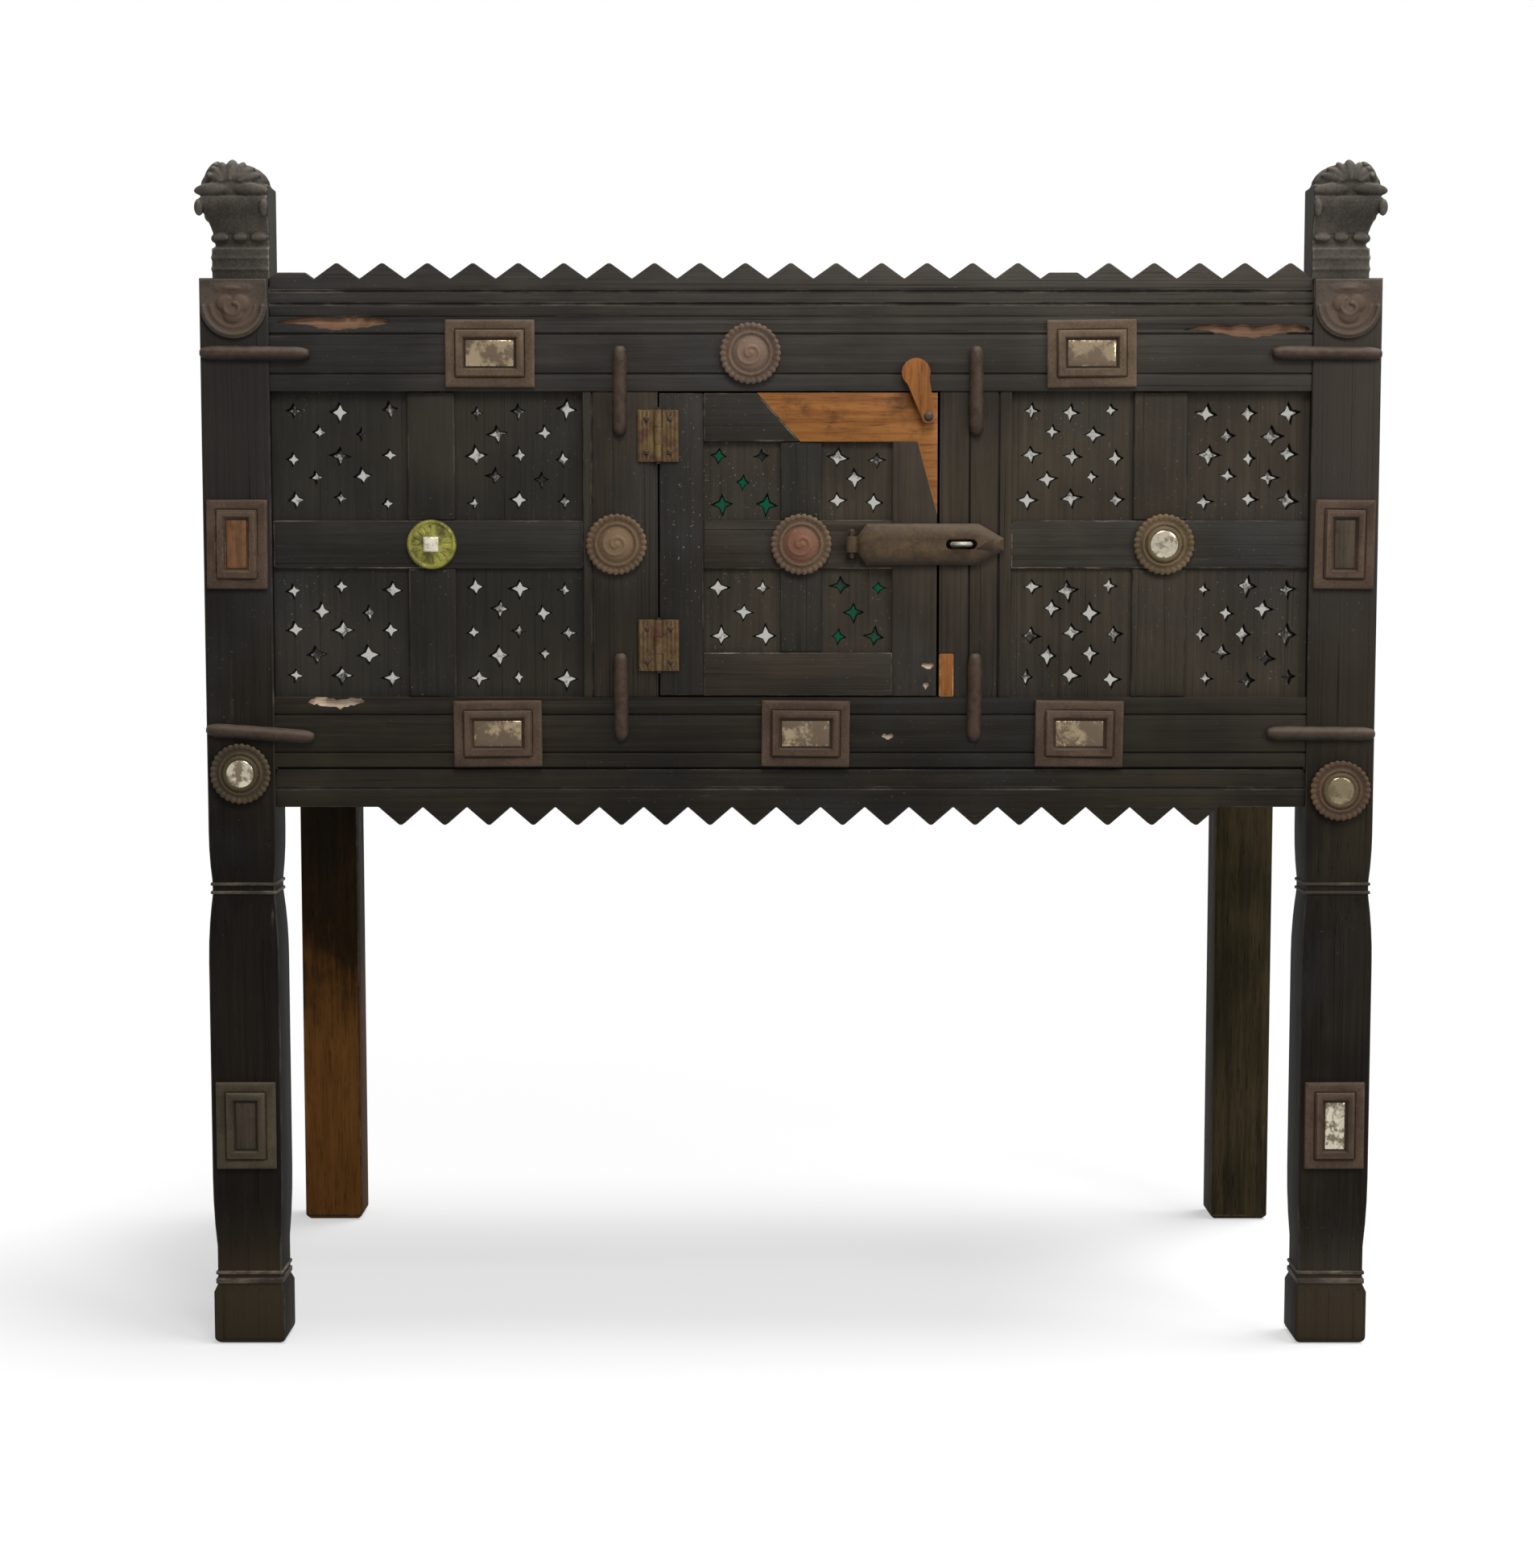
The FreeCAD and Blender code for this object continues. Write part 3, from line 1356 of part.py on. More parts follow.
def rosette(name, x, seat, z, hollow):
    """A turned disc with a scalloped rim, and a boss or a hollow for a centre."""
    radius, ring = dim.rosette_radius, dim.rosette_middle
    body = new_body(name, x, behind(seat), z)
    sketch = new_sketch(body, "YZ_Plane")
    rim = radius - dim.rosette_rim
    dish = (rim + ring) / 2
    steps = [
        corner(0, 0),
        corner(0, radius),
        corner(-dim.rosette_rim, radius),
        corner(-dim.rosette_rim, rim),
        corner(-dim.rosette_dish, dish),
        corner(-dim.rosette_ring, ring),
    ]
    if hollow:
        steps += [corner(-dim.rosette_floor, ring), corner(-dim.rosette_floor, 0)]
    else:
        steps += [corner(-dim.rosette_floor, dim.rosette_boss_foot)]
        steps += [corner(-dim.rosette_boss, dim.rosette_boss_top), corner(-dim.rosette_boss, 0)]
    outline(sketch, steps)
    revolve(body, sketch)
    sketch = new_sketch(body, "XZ_Plane", dim.rosette_rim)
    circle(sketch, 0, radius, dim.scallop_radius)
    notch = pocket(body, sketch, dim.rosette_rim)
    pattern = body.newObject("PartDesign::PolarPattern", f"{name}_scallops")
    pattern.Originals = [notch]
    pattern.Axis = (sketch, ["N_Axis"])
    pattern.Angle = 360
    bind(pattern, "Occurrences", dim.scallop_count)
    body.Tip = pattern
    return body


def rosette_centre(name, x, seat, z):
    """A round mirror or boss in a hollow rosette."""
    y = behind(seat - dim.rosette_floor - dim.rosette_centre_thickness)
    return rod(name, dim.rosette_middle, dim.rosette_centre_thickness, x, y, z, backwards=True)


def rosettes(left_muntin_middle, right_muntin_middle):
    """Rosettes on the top rail, left jamb, right bay and legs of the frame, and on the door."""
    bay_x = right_muntin_middle + dim.bay_rosette_shift
    spots = (
        ("rosette_top", doorway_middle - dim.top_rosette_shift, dim.rail_setback, top_rail_middle, False),
        ("rosette_jamb", left_jamb_middle - dim.jamb_rosette_shift, dim.jamb_setback, cross_middle, False),
        ("rosette_bay", bay_x, dim.member_setback, cross_middle, True),
        ("rosette_leg_left", -post_middle, as_size(0), rail_base - dim.left_leg_rosette_drop, True),
        ("rosette_leg_right", post_middle, as_size(0), rail_base - dim.right_leg_rosette_drop, True),
    )
    bodies, centres = [], []
    for name, x, seat, z, hollow in spots:
        bodies.append(rosette(name, x, seat, z, hollow))
        if hollow:
            centres.append(rosette_centre(f"{name}_centre", x, seat, z))
    node("frame_rosettes", group("frame_rosettes", bodies))
    brass_disc(left_muntin_middle, centres)
    node("rosette_centres", group("rosette_centres", centres))
    node("door_rosette", rosette("door_rosette", door_muntin_middle, door_member_front, cross_middle, False))


def brass_disc(x, centres):
    """A domed brass disc on the left bay, with a square stud in its middle."""
    body = new_body("brass_disc_form", x, behind(dim.member_setback), cross_middle)
    sketch = new_sketch(body, "YZ_Plane")
    radius, height, stud = dim.brass_disc_radius, dim.brass_disc_height, dim.brass_stud
    steps = [
        corner(0, 0),
        corner(0, radius),
        corner(-height / 3, radius),
        corner(-height, stud),
        corner(-height, 0),
    ]
    outline(sketch, steps)
    revolve(body, sketch)
    node("brass_disc", body)
    face = dim.member_setback - height
    half = stud / 2
    depth = (behind(face - dim.rosette_centre_thickness), behind(face))
    centres.append(box("brass_stud", (x - half, x + half), depth, (cross_middle - half, cross_middle + half)))


def shield(side, sign):
    """A tongue-shaped plate with a raised ring, under the finial."""
    body = new_body(f"shield_{side}", sign * post_middle, behind(0), shoulder)
    half = dim.shield_width / 2
    middle = half - dim.shield_height
    sketch = new_sketch(body, "XZ_Plane")
    steps = [
        corner(-half, 0),
        corner(-half, middle),
        bend(0, middle - half, centre_u=0),
        bend(half, middle, centre_u=0),
        corner(half, 0),
    ]
    outline(sketch, steps)
    pad(body, sketch, dim.shield_thickness)
    rise = dim.shield_thickness + dim.shield_ring_rise
    sketch = new_sketch(body, "XZ_Plane", dim.shield_thickness)
    circle(sketch, 0, middle, dim.shield_ring_radius)
    pad(body, sketch, dim.shield_ring_rise)
    sketch = new_sketch(body, "XZ_Plane", rise)
    circle(sketch, 0, middle, dim.shield_ring_radius - dim.shield_ring_width)
    pocket(body, sketch, dim.shield_ring_rise)
    return body


# Iron cramps


def cramp(name, x, seat, z, length, upright):
    """A half-round bar with blunt ends, lying on the faces of the two pieces that it ties."""
    body = doc.addObject("PartDesign::Body", name)
    if upright:
        body.Placement.Rotation = FreeCAD.Rotation(FreeCAD.Vector(0, 1, 0), -90)
    place(body, x, behind(seat), z)
    sketch = new_sketch(body, "XZ_Plane")
    half, point, radius = length / 2, dim.cramp_point, dim.cramp_radius
    steps = [corner(-half, 0), corner(half, 0)]
    steps += [corner(half - point / 2, dim.cramp_point_radius), corner(half - point, radius)]
    steps += [corner(point - half, radius), corner(point / 2 - half, dim.cramp_point_radius)]
    outline(sketch, steps)
    revolve(body, sketch, 180)
    return body


def cramp_legs(name, x, seat, z, length, upright, holders):
    """The two legs of a cramp, driven into the pieces that it ties."""
    legs = []
    half = dim.cramp_leg / 2
    for holder, sign in zip(holders, (-1, 1)):
        shift = (length / 2 - dim.cramp_leg_inset) * sign
        leg_x, leg_z = (x, z + shift) if upright else (x + shift, z)
        depth = (behind(seat), behind(seat + dim.cramp_leg_depth))
        leg = box(f"{name}_{holder}_leg", (leg_x - half, leg_x + half), depth, (leg_z - half, leg_z + half))
        legs.append(let_in(leg, holder))
    return legs


def cramps():
    """Four cramps across the post joints and four across the jamb joints."""
    corner_cramps, jamb_cramps = [], []
    for level, z in (("top", top_rail_middle), ("bottom", bottom_rail_middle)):
        rail = f"front_{level}_rail"
        for side, sign in SIDES:
            name = f"cramp_{level}_{side}"
            x = sign * (inner_half - dim.cramp_on_rail + dim.cramp_length / 2)
            holders = (f"front_post_{side}", rail) if sign < 0 else (rail, f"front_post_{side}")
            spot = (x, as_size(0), z, dim.cramp_length, False)
            corner_cramps.append(fuse(f"{name}_whole", [cramp(name, *spot)] + cramp_legs(name, *spot, holders)))
    jambs = (
        ("left", left_jamb_middle),
        ("right", right_jamb_middle),
    )
    for side, x in jambs:
        jamb = f"door_jamb_{side}"
        for level, z, holders in (
            ("top", opening_high, (jamb, "front_top_rail")),
            ("bottom", opening_low, ("front_bottom_rail", jamb)),
        ):
            name = f"jamb_cramp_{level}_{side}"
            spot = (x, dim.rail_setback, z, dim.jamb_cramp_length, True)
            jamb_cramps.append(fuse(f"{name}_whole", [cramp(name, *spot)] + cramp_legs(name, *spot, holders)))
    node("corner_cramps", group("corner_cramps", corner_cramps))
    node("jamb_cramps", group("jamb_cramps", jamb_cramps))


# The chest

left_muntin_middle = left_jamb_outer - dim.left_bay_width / 2 + dim.left_muntin_shift
right_muntin_middle = right_jamb_outer + dim.right_bay_width / 2
left_bay_across = (-inner_half, left_jamb_outer)
right_bay_across = (right_jamb_outer, inner_half)

long_rail_pieces = long_rails()
side_rail_pieces = side_rails()
for side, sign in SIDES:
    side_boards(side, sign)
back_boards()
cramps()
left_backing = bay("left", left_bay_across, left_muntin_middle, dim.left_muntin_width)
right_backing = bay("right", right_bay_across, right_muntin_middle, dim.right_muntin_width)
node("bay_backing_boards", group("bay_backing_boards", [left_backing, right_backing]))
left_jamb = door_jamb("left", (left_jamb_outer, doorway_left))
right_jamb = door_jamb("right", (doorway_right, right_jamb_outer))
jamb_patch_piece = jamb_patch()
lock_staple_pieces = lock_staple()
patch_piece = door_patch()
wire_staple_pieces = wire_staple()
nail_pieces = button_nail()

crest_board()
apron_board()
for label, pieces in long_rail_pieces.items():
    lines = []
    if label.startswith("front"):
        low, high = (opening_high, rail_top) if "top" in label else (rail_base, opening_low)
        for number, level in enumerate((low + dim.scored_line_inset, high - dim.scored_line_inset)):
            lines.append(scored(f"{label}_line_{number}", level, dim.rail_setback, (-inner_half, inner_half)))
    finish(label, pieces, lines)
for side, rails in side_rail_pieces.items():
    bars = []
    for label, pieces in rails:
        bars.append(carve(label, fuse(f"{label}_whole", pieces), sinkings[label]))
    node(f"{side}_side_rails", group(f"{side}_side_rails", bars))
for side, sign in SIDES:
    front_post(side, sign)
    back_post(side, sign)
for label, pieces in (left_jamb, right_jamb):
    finish(label, pieces)

top_depth = (behind(toothed_back), behind(back_rail_back))
top_half = side_inner + dim.top_board_overlap
top_height = (rail_top, rail_top + dim.top_board_thickness)
lying_boards("top_boards", top_half, top_depth, top_height, "top_board_count")
floor_low = rail_base + dim.floor_height
floor_depth = (rail_depth[1], back_rail_depth[0])
floor_height = (floor_low, floor_low + dim.floor_board_thickness)
lying_boards("floor_boards", side_inner, floor_depth, floor_height, "floor_board_count")
floor_bearers(floor_low)

door_frame()
door_fields()
finish("door_patch", [patch_piece])
hinges()
node("jamb_patch", jamb_patch_piece)
node("lock_staple", fuse("lock_staple_whole", lock_staple_pieces))
node("wire_staple", fuse("wire_staple_whole", wire_staple_pieces))
hasp()
turn_button()
node("turn_button_nail", fuse("turn_button_nail_whole", nail_pieces))
plaques()
rosettes(left_muntin_middle, right_muntin_middle)
node("post_shields", group("post_shields", [shield(side, sign) for side, sign in SIDES]))

doc.recompute()
for item in doc.Objects:
    if "Invalid" in item.State or "Error" in item.State:
        raise RuntimeError(f"{item.Label} failed: {item.State}")
for item in nodes:
    if item.Shape.isNull() or not item.Shape.isValid():
        raise RuntimeError(f"{item.Label} has no valid shape")

os.makedirs("parts", exist_ok=True)
for item in nodes:
    item.Shape.exportStep(os.path.join("parts", f"{item.Label}.step"))
print(len(nodes), "nodes,", sum(len(item.Shape.Solids) for item in nodes), "solids")
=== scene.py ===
import json
import math
import random

import bmesh
import bpy
from mathutils import Matrix, Vector

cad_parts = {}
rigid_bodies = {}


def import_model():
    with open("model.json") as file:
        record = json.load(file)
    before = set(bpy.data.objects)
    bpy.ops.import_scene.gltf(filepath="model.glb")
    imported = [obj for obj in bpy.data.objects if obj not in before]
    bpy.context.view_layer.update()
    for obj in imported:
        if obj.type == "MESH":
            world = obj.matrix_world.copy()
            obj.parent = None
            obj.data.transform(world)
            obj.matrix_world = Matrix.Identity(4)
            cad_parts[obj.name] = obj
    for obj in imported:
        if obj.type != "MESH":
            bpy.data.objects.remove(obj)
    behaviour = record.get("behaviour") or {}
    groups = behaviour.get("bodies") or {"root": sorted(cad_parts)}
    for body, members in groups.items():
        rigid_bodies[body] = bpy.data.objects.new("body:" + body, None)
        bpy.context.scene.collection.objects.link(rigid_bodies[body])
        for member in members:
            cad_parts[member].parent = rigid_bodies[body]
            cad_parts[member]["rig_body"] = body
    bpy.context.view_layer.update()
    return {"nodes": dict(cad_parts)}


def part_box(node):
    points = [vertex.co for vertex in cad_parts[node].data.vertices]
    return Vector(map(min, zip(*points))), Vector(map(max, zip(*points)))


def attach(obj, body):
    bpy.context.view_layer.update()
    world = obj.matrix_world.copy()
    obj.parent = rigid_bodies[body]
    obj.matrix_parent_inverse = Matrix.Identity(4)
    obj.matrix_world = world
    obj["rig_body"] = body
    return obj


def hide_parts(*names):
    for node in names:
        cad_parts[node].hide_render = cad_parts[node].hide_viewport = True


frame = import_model()
nodes = frame["nodes"]
dice = random.Random(11)
MM = 0.001


# Finishes


def tone(red, green, blue):
    """A colour from a paint chart, made linear for the shader."""
    shares = []
    for share in (red / 255, green / 255, blue / 255):
        shares.append(share / 12.92 if share <= 0.04045 else ((share + 0.055) / 1.055) ** 2.4)
    return (*shares, 1.0)


class Wire:
    """A socket of a node tree; arithmetic on it adds Math nodes."""

    def __init__(self, owner, socket):
        self.owner = owner
        self.socket = socket

    def maths(self, operation, first, second):
        return self.owner.node("ShaderNodeMath", {"operation": operation}, {0: first, 1: second})

    def __add__(self, other):
        return self.maths("ADD", self, other)

    def __radd__(self, other):
        return self.maths("ADD", other, self)

    def __sub__(self, other):
        return self.maths("SUBTRACT", self, other)

    def __rsub__(self, other):
        return self.maths("SUBTRACT", other, self)

    def __mul__(self, other):
        return self.maths("MULTIPLY", self, other)

    def __rmul__(self, other):
        return self.maths("MULTIPLY", other, self)

    def __abs__(self):
        return self.maths("ABSOLUTE", self, 0.0)


class Nodes:
    """A node tree that grows by one node at a time."""

    def __init__(self, tree):
        self.tree = tree

    def node(self, kind, settings=None, values=None, out=0):
        """Adds any node: its settings first, then the values or links of its sockets."""
        item = self.tree.nodes.new(kind)
        for name, value in (settings or {}).items():
            setattr(item, name, value)
        for key, value in (values or {}).items():
            self.feed(item.inputs[key], value)
        return Wire(self, item.outputs[out])

    def feed(self, socket, value):
        if isinstance(value, Wire):
            self.tree.links.new(value.socket, socket)
        else:
            socket.default_value = value

    def seen_rays(self):
        """1 for what the eye sees straight, in a mirror or through glass; 0 for what only lights things."""
        kinds = ("Camera", "Glossy", "Transmission")
        rays = [self.node("ShaderNodeLightPath", out=f"Is {kind} Ray") for kind in kinds]
        return self.node("ShaderNodeMath", {"operation": "MAXIMUM"}, {0: rays[0] + rays[1], 1: rays[2]})


class Finish(Nodes):
    """A material on object coordinates."""

    def __init__(self, name, **settings):
        self.material = bpy.data.materials.new(name)
        self.material.use_nodes = True
        super().__init__(self.material.node_tree)
        self.shader = self.tree.nodes["Principled BSDF"]
        for socket, value in settings.items():
            self.shader.inputs[socket.replace("_", " ")].default_value = value
        self.place = self.node("ShaderNodeTexCoord", out="Object")

    def stretched(self, factors, shift=(0, 0, 0)):
        """Object coordinates drawn out along the grain."""
        values = {"Vector": self.place, "Scale": factors, "Location": shift}
        return self.node("ShaderNodeMapping", {}, values)

    def noise(self, place, scale, detail=4.0, roughness=0.55):
        values = {"Vector": place, "Scale": scale, "Detail": detail, "Roughness": roughness}
        return self.node("ShaderNodeTexNoise", {}, values, out="Fac")

    def band(self, value, low, high):
        """0 below low, 1 above high, smooth between them."""
        values = {"Value": value, "From Min": low, "From Max": high}
        return self.node("ShaderNodeMapRange", {"interpolation_type": "SMOOTHSTEP"}, values)

    def mix(self, first, second, share):
        """Mixes two colours; each is a wire, or red, green and blue from a paint chart."""
        first, second = (item if isinstance(item, Wire) else tone(*item) for item in (first, second))
        return self.node("ShaderNodeMix", {"data_type": "RGBA"}, {0: share, 6: first, 7: second}, out=2)

    def measure(self, axis):
        """Where a point lies along an axis, in metres."""
        return self.node("ShaderNodeSeparateXYZ", {}, {0: self.place}, out=axis)

    def facing(self, axis):
        """How far a surface faces along an axis."""
        normal = self.node("ShaderNodeNewGeometry", out="Normal")
        return self.node("ShaderNodeSeparateXYZ", {}, {0: normal}, out=axis)

    def sideways(self):
        """1 on the left and right sides of a piece."""
        return self.band(abs(self.facing("X")), 0.7, 0.95)

    def away_from(self, point):
        values = {0: self.place, 1: point}
        return self.node("ShaderNodeVectorMath", {"operation": "DISTANCE"}, values, out="Value")

    def sharpness(self):
        """Over a half on ridges, under a half in hollows."""
        return self.node("ShaderNodeNewGeometry", out="Pointiness")

    def colour(self, value):
        self.feed(self.shader.inputs["Base Color"], value)

    def rough(self, value):
        self.feed(self.shader.inputs["Roughness"], value)

    def metal(self, value):
        self.feed(self.shader.inputs["Metallic"], value)

    def bump(self, value, depth):
        settings = {"Height": value, "Distance": depth, "Strength": 1.0}
        self.feed(self.shader.inputs["Normal"], self.node("ShaderNodeBump", {}, settings))


GRAIN = {"x": (0.05, 1, 1), "y": (1, 0.05, 1), "z": (1, 1, 0.05)}
GREY_FILM = (43, 47, 50)
OLIVE_FILM = (50, 45, 31)
# settled dust; on iron it also serves as a painted highlight on top
DUST_AND_HIGHLIGHT = (104, 96, 84)
# painted light: the tone and the slope of the lightening towards the upper right, where the light comes from
PAINTED_LIGHT_TONE = (77, 68, 56)
PAINTED_LIGHT_LEVEL = 0.9
PAINTED_LIGHT_SLOPE = 1.8
PAINT_GLOSS = 0.12
LEG_GLOSS = 0.06


def old_paint(
    name, grain, deep, light, bare, scuff=0.4, dust=0.3, cracks=0.7, painted_light=0.0, flecks=0.55, leg=False
):
    """Old dark paint over grain: films, cracks, scuffs, flecks, dust and painted light that lightens it
    towards the upper right; on legs, dust low down and painted shade on the sides.
    """
    finish = Finish(name, Specular_IOR_Level=LEG_GLOSS if leg else PAINT_GLOSS)
    along = finish.stretched(GRAIN[grain])
    streak = finish.noise(along, 190, 6, 0.6)
    broad = finish.noise(finish.place, 6, 4)
    fine = finish.noise(along, 900, 3)
    paint = finish.mix(deep, light, finish.band(streak * 0.45 + broad * 0.7, 0.40, 0.84))
    films = finish.noise(finish.stretched((1, 1, 1), shift=(3, 5, 1)), 5, 4)
    paint = finish.mix(paint, GREY_FILM, finish.band(films, 0.52, 0.72) * 0.32)
    paint = finish.mix(paint, OLIVE_FILM, (1 - finish.band(films, 0.28, 0.47)) * 0.35)
    # painted light: lighter towards the upper right, where the light comes from
    if painted_light:
        towards_light = finish.measure("X") + (finish.measure("Z") - PAINTED_LIGHT_LEVEL) * PAINTED_LIGHT_SLOPE
        paint = finish.mix(paint, PAINTED_LIGHT_TONE, finish.band(towards_light + (broad - 0.5) * 0.4, -0.2, 0.75) * painted_light)
    long_lines = finish.stretched([share * share * 3 for share in GRAIN[grain]])
    crack = 1 - finish.band(abs(finish.noise(long_lines, 40, 2) - 0.5), 0.0, 0.004)
    paint = finish.mix(paint, (9, 8, 7), crack * cracks)
    rubbed = finish.band(finish.noise(along, 130, 8, 0.72), 0.60, 0.72)
    patchy = finish.band(finish.noise(finish.place, 14, 4), 0.48, 0.66)
    paint = finish.mix(paint, bare, rubbed * patchy * scuff)
    specks = finish.band(finish.noise(finish.place, 330, 3, 0.6), 0.70 - flecks * 0.05, 0.78 - flecks * 0.05)
    paint = finish.mix(paint, bare, specks * finish.band(films, 0.42, 0.62) * flecks)
    settled = finish.band(finish.facing("Z"), 0.45, 0.95) * finish.band(broad + fine * 0.3, 0.4, 0.8)
    paint = finish.mix(paint, DUST_AND_HIGHLIGHT, settled * dust)
    if leg:
        low = 1 - finish.band(finish.measure("Z") + (broad - 0.5) * 0.12, 0.02, 0.15)
        paint = finish.mix(paint, (78, 66, 48), low * 0.34)
        high = finish.band(finish.measure("Z"), 0.62, 0.86)
        paint = finish.mix(paint, (52, 50, 50), high * 0.34)
        # painted shade on the left and right sides of the legs
        paint = finish.mix(paint, (10, 8, 6), finish.sideways() * 0.8)
    finish.colour(paint)
    finish.rough(0.56 + streak * 0.2 + settled * 0.2)
    finish.bump(streak * 0.45 + fine * 0.25 - crack * 0.8 + rubbed * 0.1, 0.0008)
    return finish.material


def rubbed_edge(name, grain, deep, bare, share):
    """An edge rubbed down, in patches, to what lies under its surface."""
    finish = Finish(name, Specular_IOR_Level=PAINT_GLOSS)
    along = finish.stretched([min(1, factor * 6) for factor in GRAIN[grain]])
    rubbed = finish.band(finish.noise(along, 70, 6, 0.7), 0.42, 0.62)
    patchy = finish.band(finish.noise(finish.place, 8, 4), 0.38, 0.62)
    grit = finish.noise(finish.place, 500, 4)
    finish.colour(finish.mix(deep, bare, rubbed * patchy * share + grit * 0.08))
    finish.rough(0.58 + grit * 0.2)
    finish.bump(rubbed * 0.5 + grit * 0.4, 0.0005)
    return finish.material


def fresh_wood(name, grain, deep, light, dark_line):
    """Unpainted wood with year lines, dark pores and tool marks across it."""
    finish = Finish(name, Specular_IOR_Level=0.2)
    along = finish.stretched(GRAIN[grain])
    sway = finish.noise(finish.stretched([factor * 0.8 for factor in GRAIN[grain]]), 14, 2)
    lines = finish.noise(along, 180, 7, 0.62)
    pores = finish.band(finish.noise(along, 800, 3), 0.58, 0.72)
    tool = finish.noise(finish.stretched([1.05 - factor for factor in GRAIN[grain]]), 120, 3)
    wood = finish.mix(deep, light, finish.band(lines * 0.7 + sway * 0.45, 0.36, 0.80))
    wood = finish.mix(wood, dark_line, pores * 0.5)
    grime = finish.band(finish.noise(finish.place, 30, 6, 0.65), 0.50, 0.68)
    wood = finish.mix(wood, dark_line, grime * 0.6)
    finish.colour(wood)
    finish.rough(0.55 + lines * 0.2)
    finish.bump(lines * 0.5 - pores * 0.4 + tool * 0.6, 0.0008)
    return finish.material


def carved_paint(name, deep, light, rubbed_and_highlight_colour, ridge=0.7, heart=None, side_shade=0.0):
    """Paint on carving: rubbed ridges that also carry a painted highlight, darker in the hollows, painted
    shade on the sides where asked, and a heart of another colour.
    """
    finish = Finish(name, Specular_IOR_Level=0.15)
    broad = finish.noise(finish.place, 24, 4)
    grit = finish.noise(finish.place, 420, 5, 0.65)
    worn_patch = finish.band(finish.noise(finish.place, 60, 6, 0.7), 0.42, 0.66)
    sharp = finish.sharpness()
    paint = finish.mix(deep, light, finish.band(broad * 0.6 + grit * 0.5, 0.38, 0.75))
    # the ridges: rubbed wear, and a painted highlight on beads and edges
    rubbed = finish.band(sharp, 0.505, 0.56) * (worn_patch * 0.6 + 0.4)
    paint = finish.mix(paint, rubbed_and_highlight_colour, rubbed * ridge)
    # darker in the hollows
    paint = finish.mix(paint, (18, 14, 10), (1 - finish.band(sharp, 0.44, 0.497)) * 0.75)
    settled = finish.band(finish.facing("Z"), 0.5, 0.95)
    paint = finish.mix(paint, DUST_AND_HIGHLIGHT, settled * 0.3)
    # painted shade on the left and right sides
    if side_shade:
        paint = finish.mix(paint, (26, 25, 16), finish.sideways() * side_shade)
    if heart:
        middle, reach, stain = heart
        near = 1 - finish.band(finish.away_from(middle) + (broad - 0.5) * reach * 0.5, reach * 0.5, reach)
        paint = finish.mix(paint, stain, near * 0.5)
    finish.colour(paint)
    finish.rough(0.58 + grit * 0.2)
    finish.bump(grit * 0.6 + broad * 0.2, 0.0006)
    return finish.material


def old_mirror(name, silver, spoilt, dirt_low, dirt_high, patch=30):
    """Old mirror glass: silver with clouded, spoilt patches."""
    finish = Finish(name)
    cloud = finish.noise(finish.place, patch, 4, 0.6)
    specks = finish.noise(finish.place, 380, 4, 0.6)
    dirt = finish.band(cloud * 0.8 + specks * 0.25, dirt_low, dirt_high)
    finish.colour(finish.mix(silver, spoilt, dirt))
    finish.metal(1 - dirt * 0.8)
    finish.rough(0.1 + dirt * 0.5)
    finish.bump(cloud, 0.0006)
    return finish.material


def forged_iron(name, deep, light, rust, shine=0.4):
    """Hammered iron with rust and a rubbed, greasy surface, dust and a painted highlight on top and painted
    shade underneath.
    """
    finish = Finish(name, Specular_IOR_Level=0.3)
    hammered = finish.noise(finish.place, 120, 2)
    grit = finish.noise(finish.place, 650, 6, 0.7)
    spread = finish.band(finish.noise(finish.place, 45, 6, 0.65), 0.42, 0.66)
    metal = finish.mix(deep, light, finish.band(hammered * 0.5 + grit * 0.5, 0.35, 0.7))
    metal = finish.mix(metal, rust, spread * 0.6)
    # dust and a painted highlight on the upward faces; painted shade on the downward faces
    upward = finish.facing("Z")
    metal = finish.mix(metal, DUST_AND_HIGHLIGHT, finish.band(upward, 0.05, 0.6) * 0.24)
    finish.colour(finish.mix(metal, (24, 19, 14), finish.band(0 - upward, 0.05, 0.6) * 0.75))
    finish.metal(shine - spread * (shine * 0.7))
    finish.rough(0.5 + grit * 0.25)
    finish.bump(hammered * 0.7 + grit * 0.25, 0.0009)
    return finish.material


def tarnished_brass(name, bright, dull, metal):
    """Brass sheet gone brown, with scratches and dirt."""
    finish = Finish(name, Specular_IOR_Level=0.3)
    stain = finish.band(finish.noise(finish.place, 70, 6, 0.65), 0.38, 0.66)
    grit = finish.noise(finish.place, 700, 4, 0.6)
    specks = finish.band(finish.noise(finish.place, 260, 4, 0.6), 0.56, 0.66)
    brass = finish.mix(bright, dull, stain)
    finish.colour(finish.mix(brass, (40, 34, 18), specks * 0.5))
    finish.metal(metal - stain * (metal * 0.6))
    finish.rough(0.42 + stain * 0.25 + grit * 0.12)
    finish.bump(grit, 0.0003)
    return finish.material


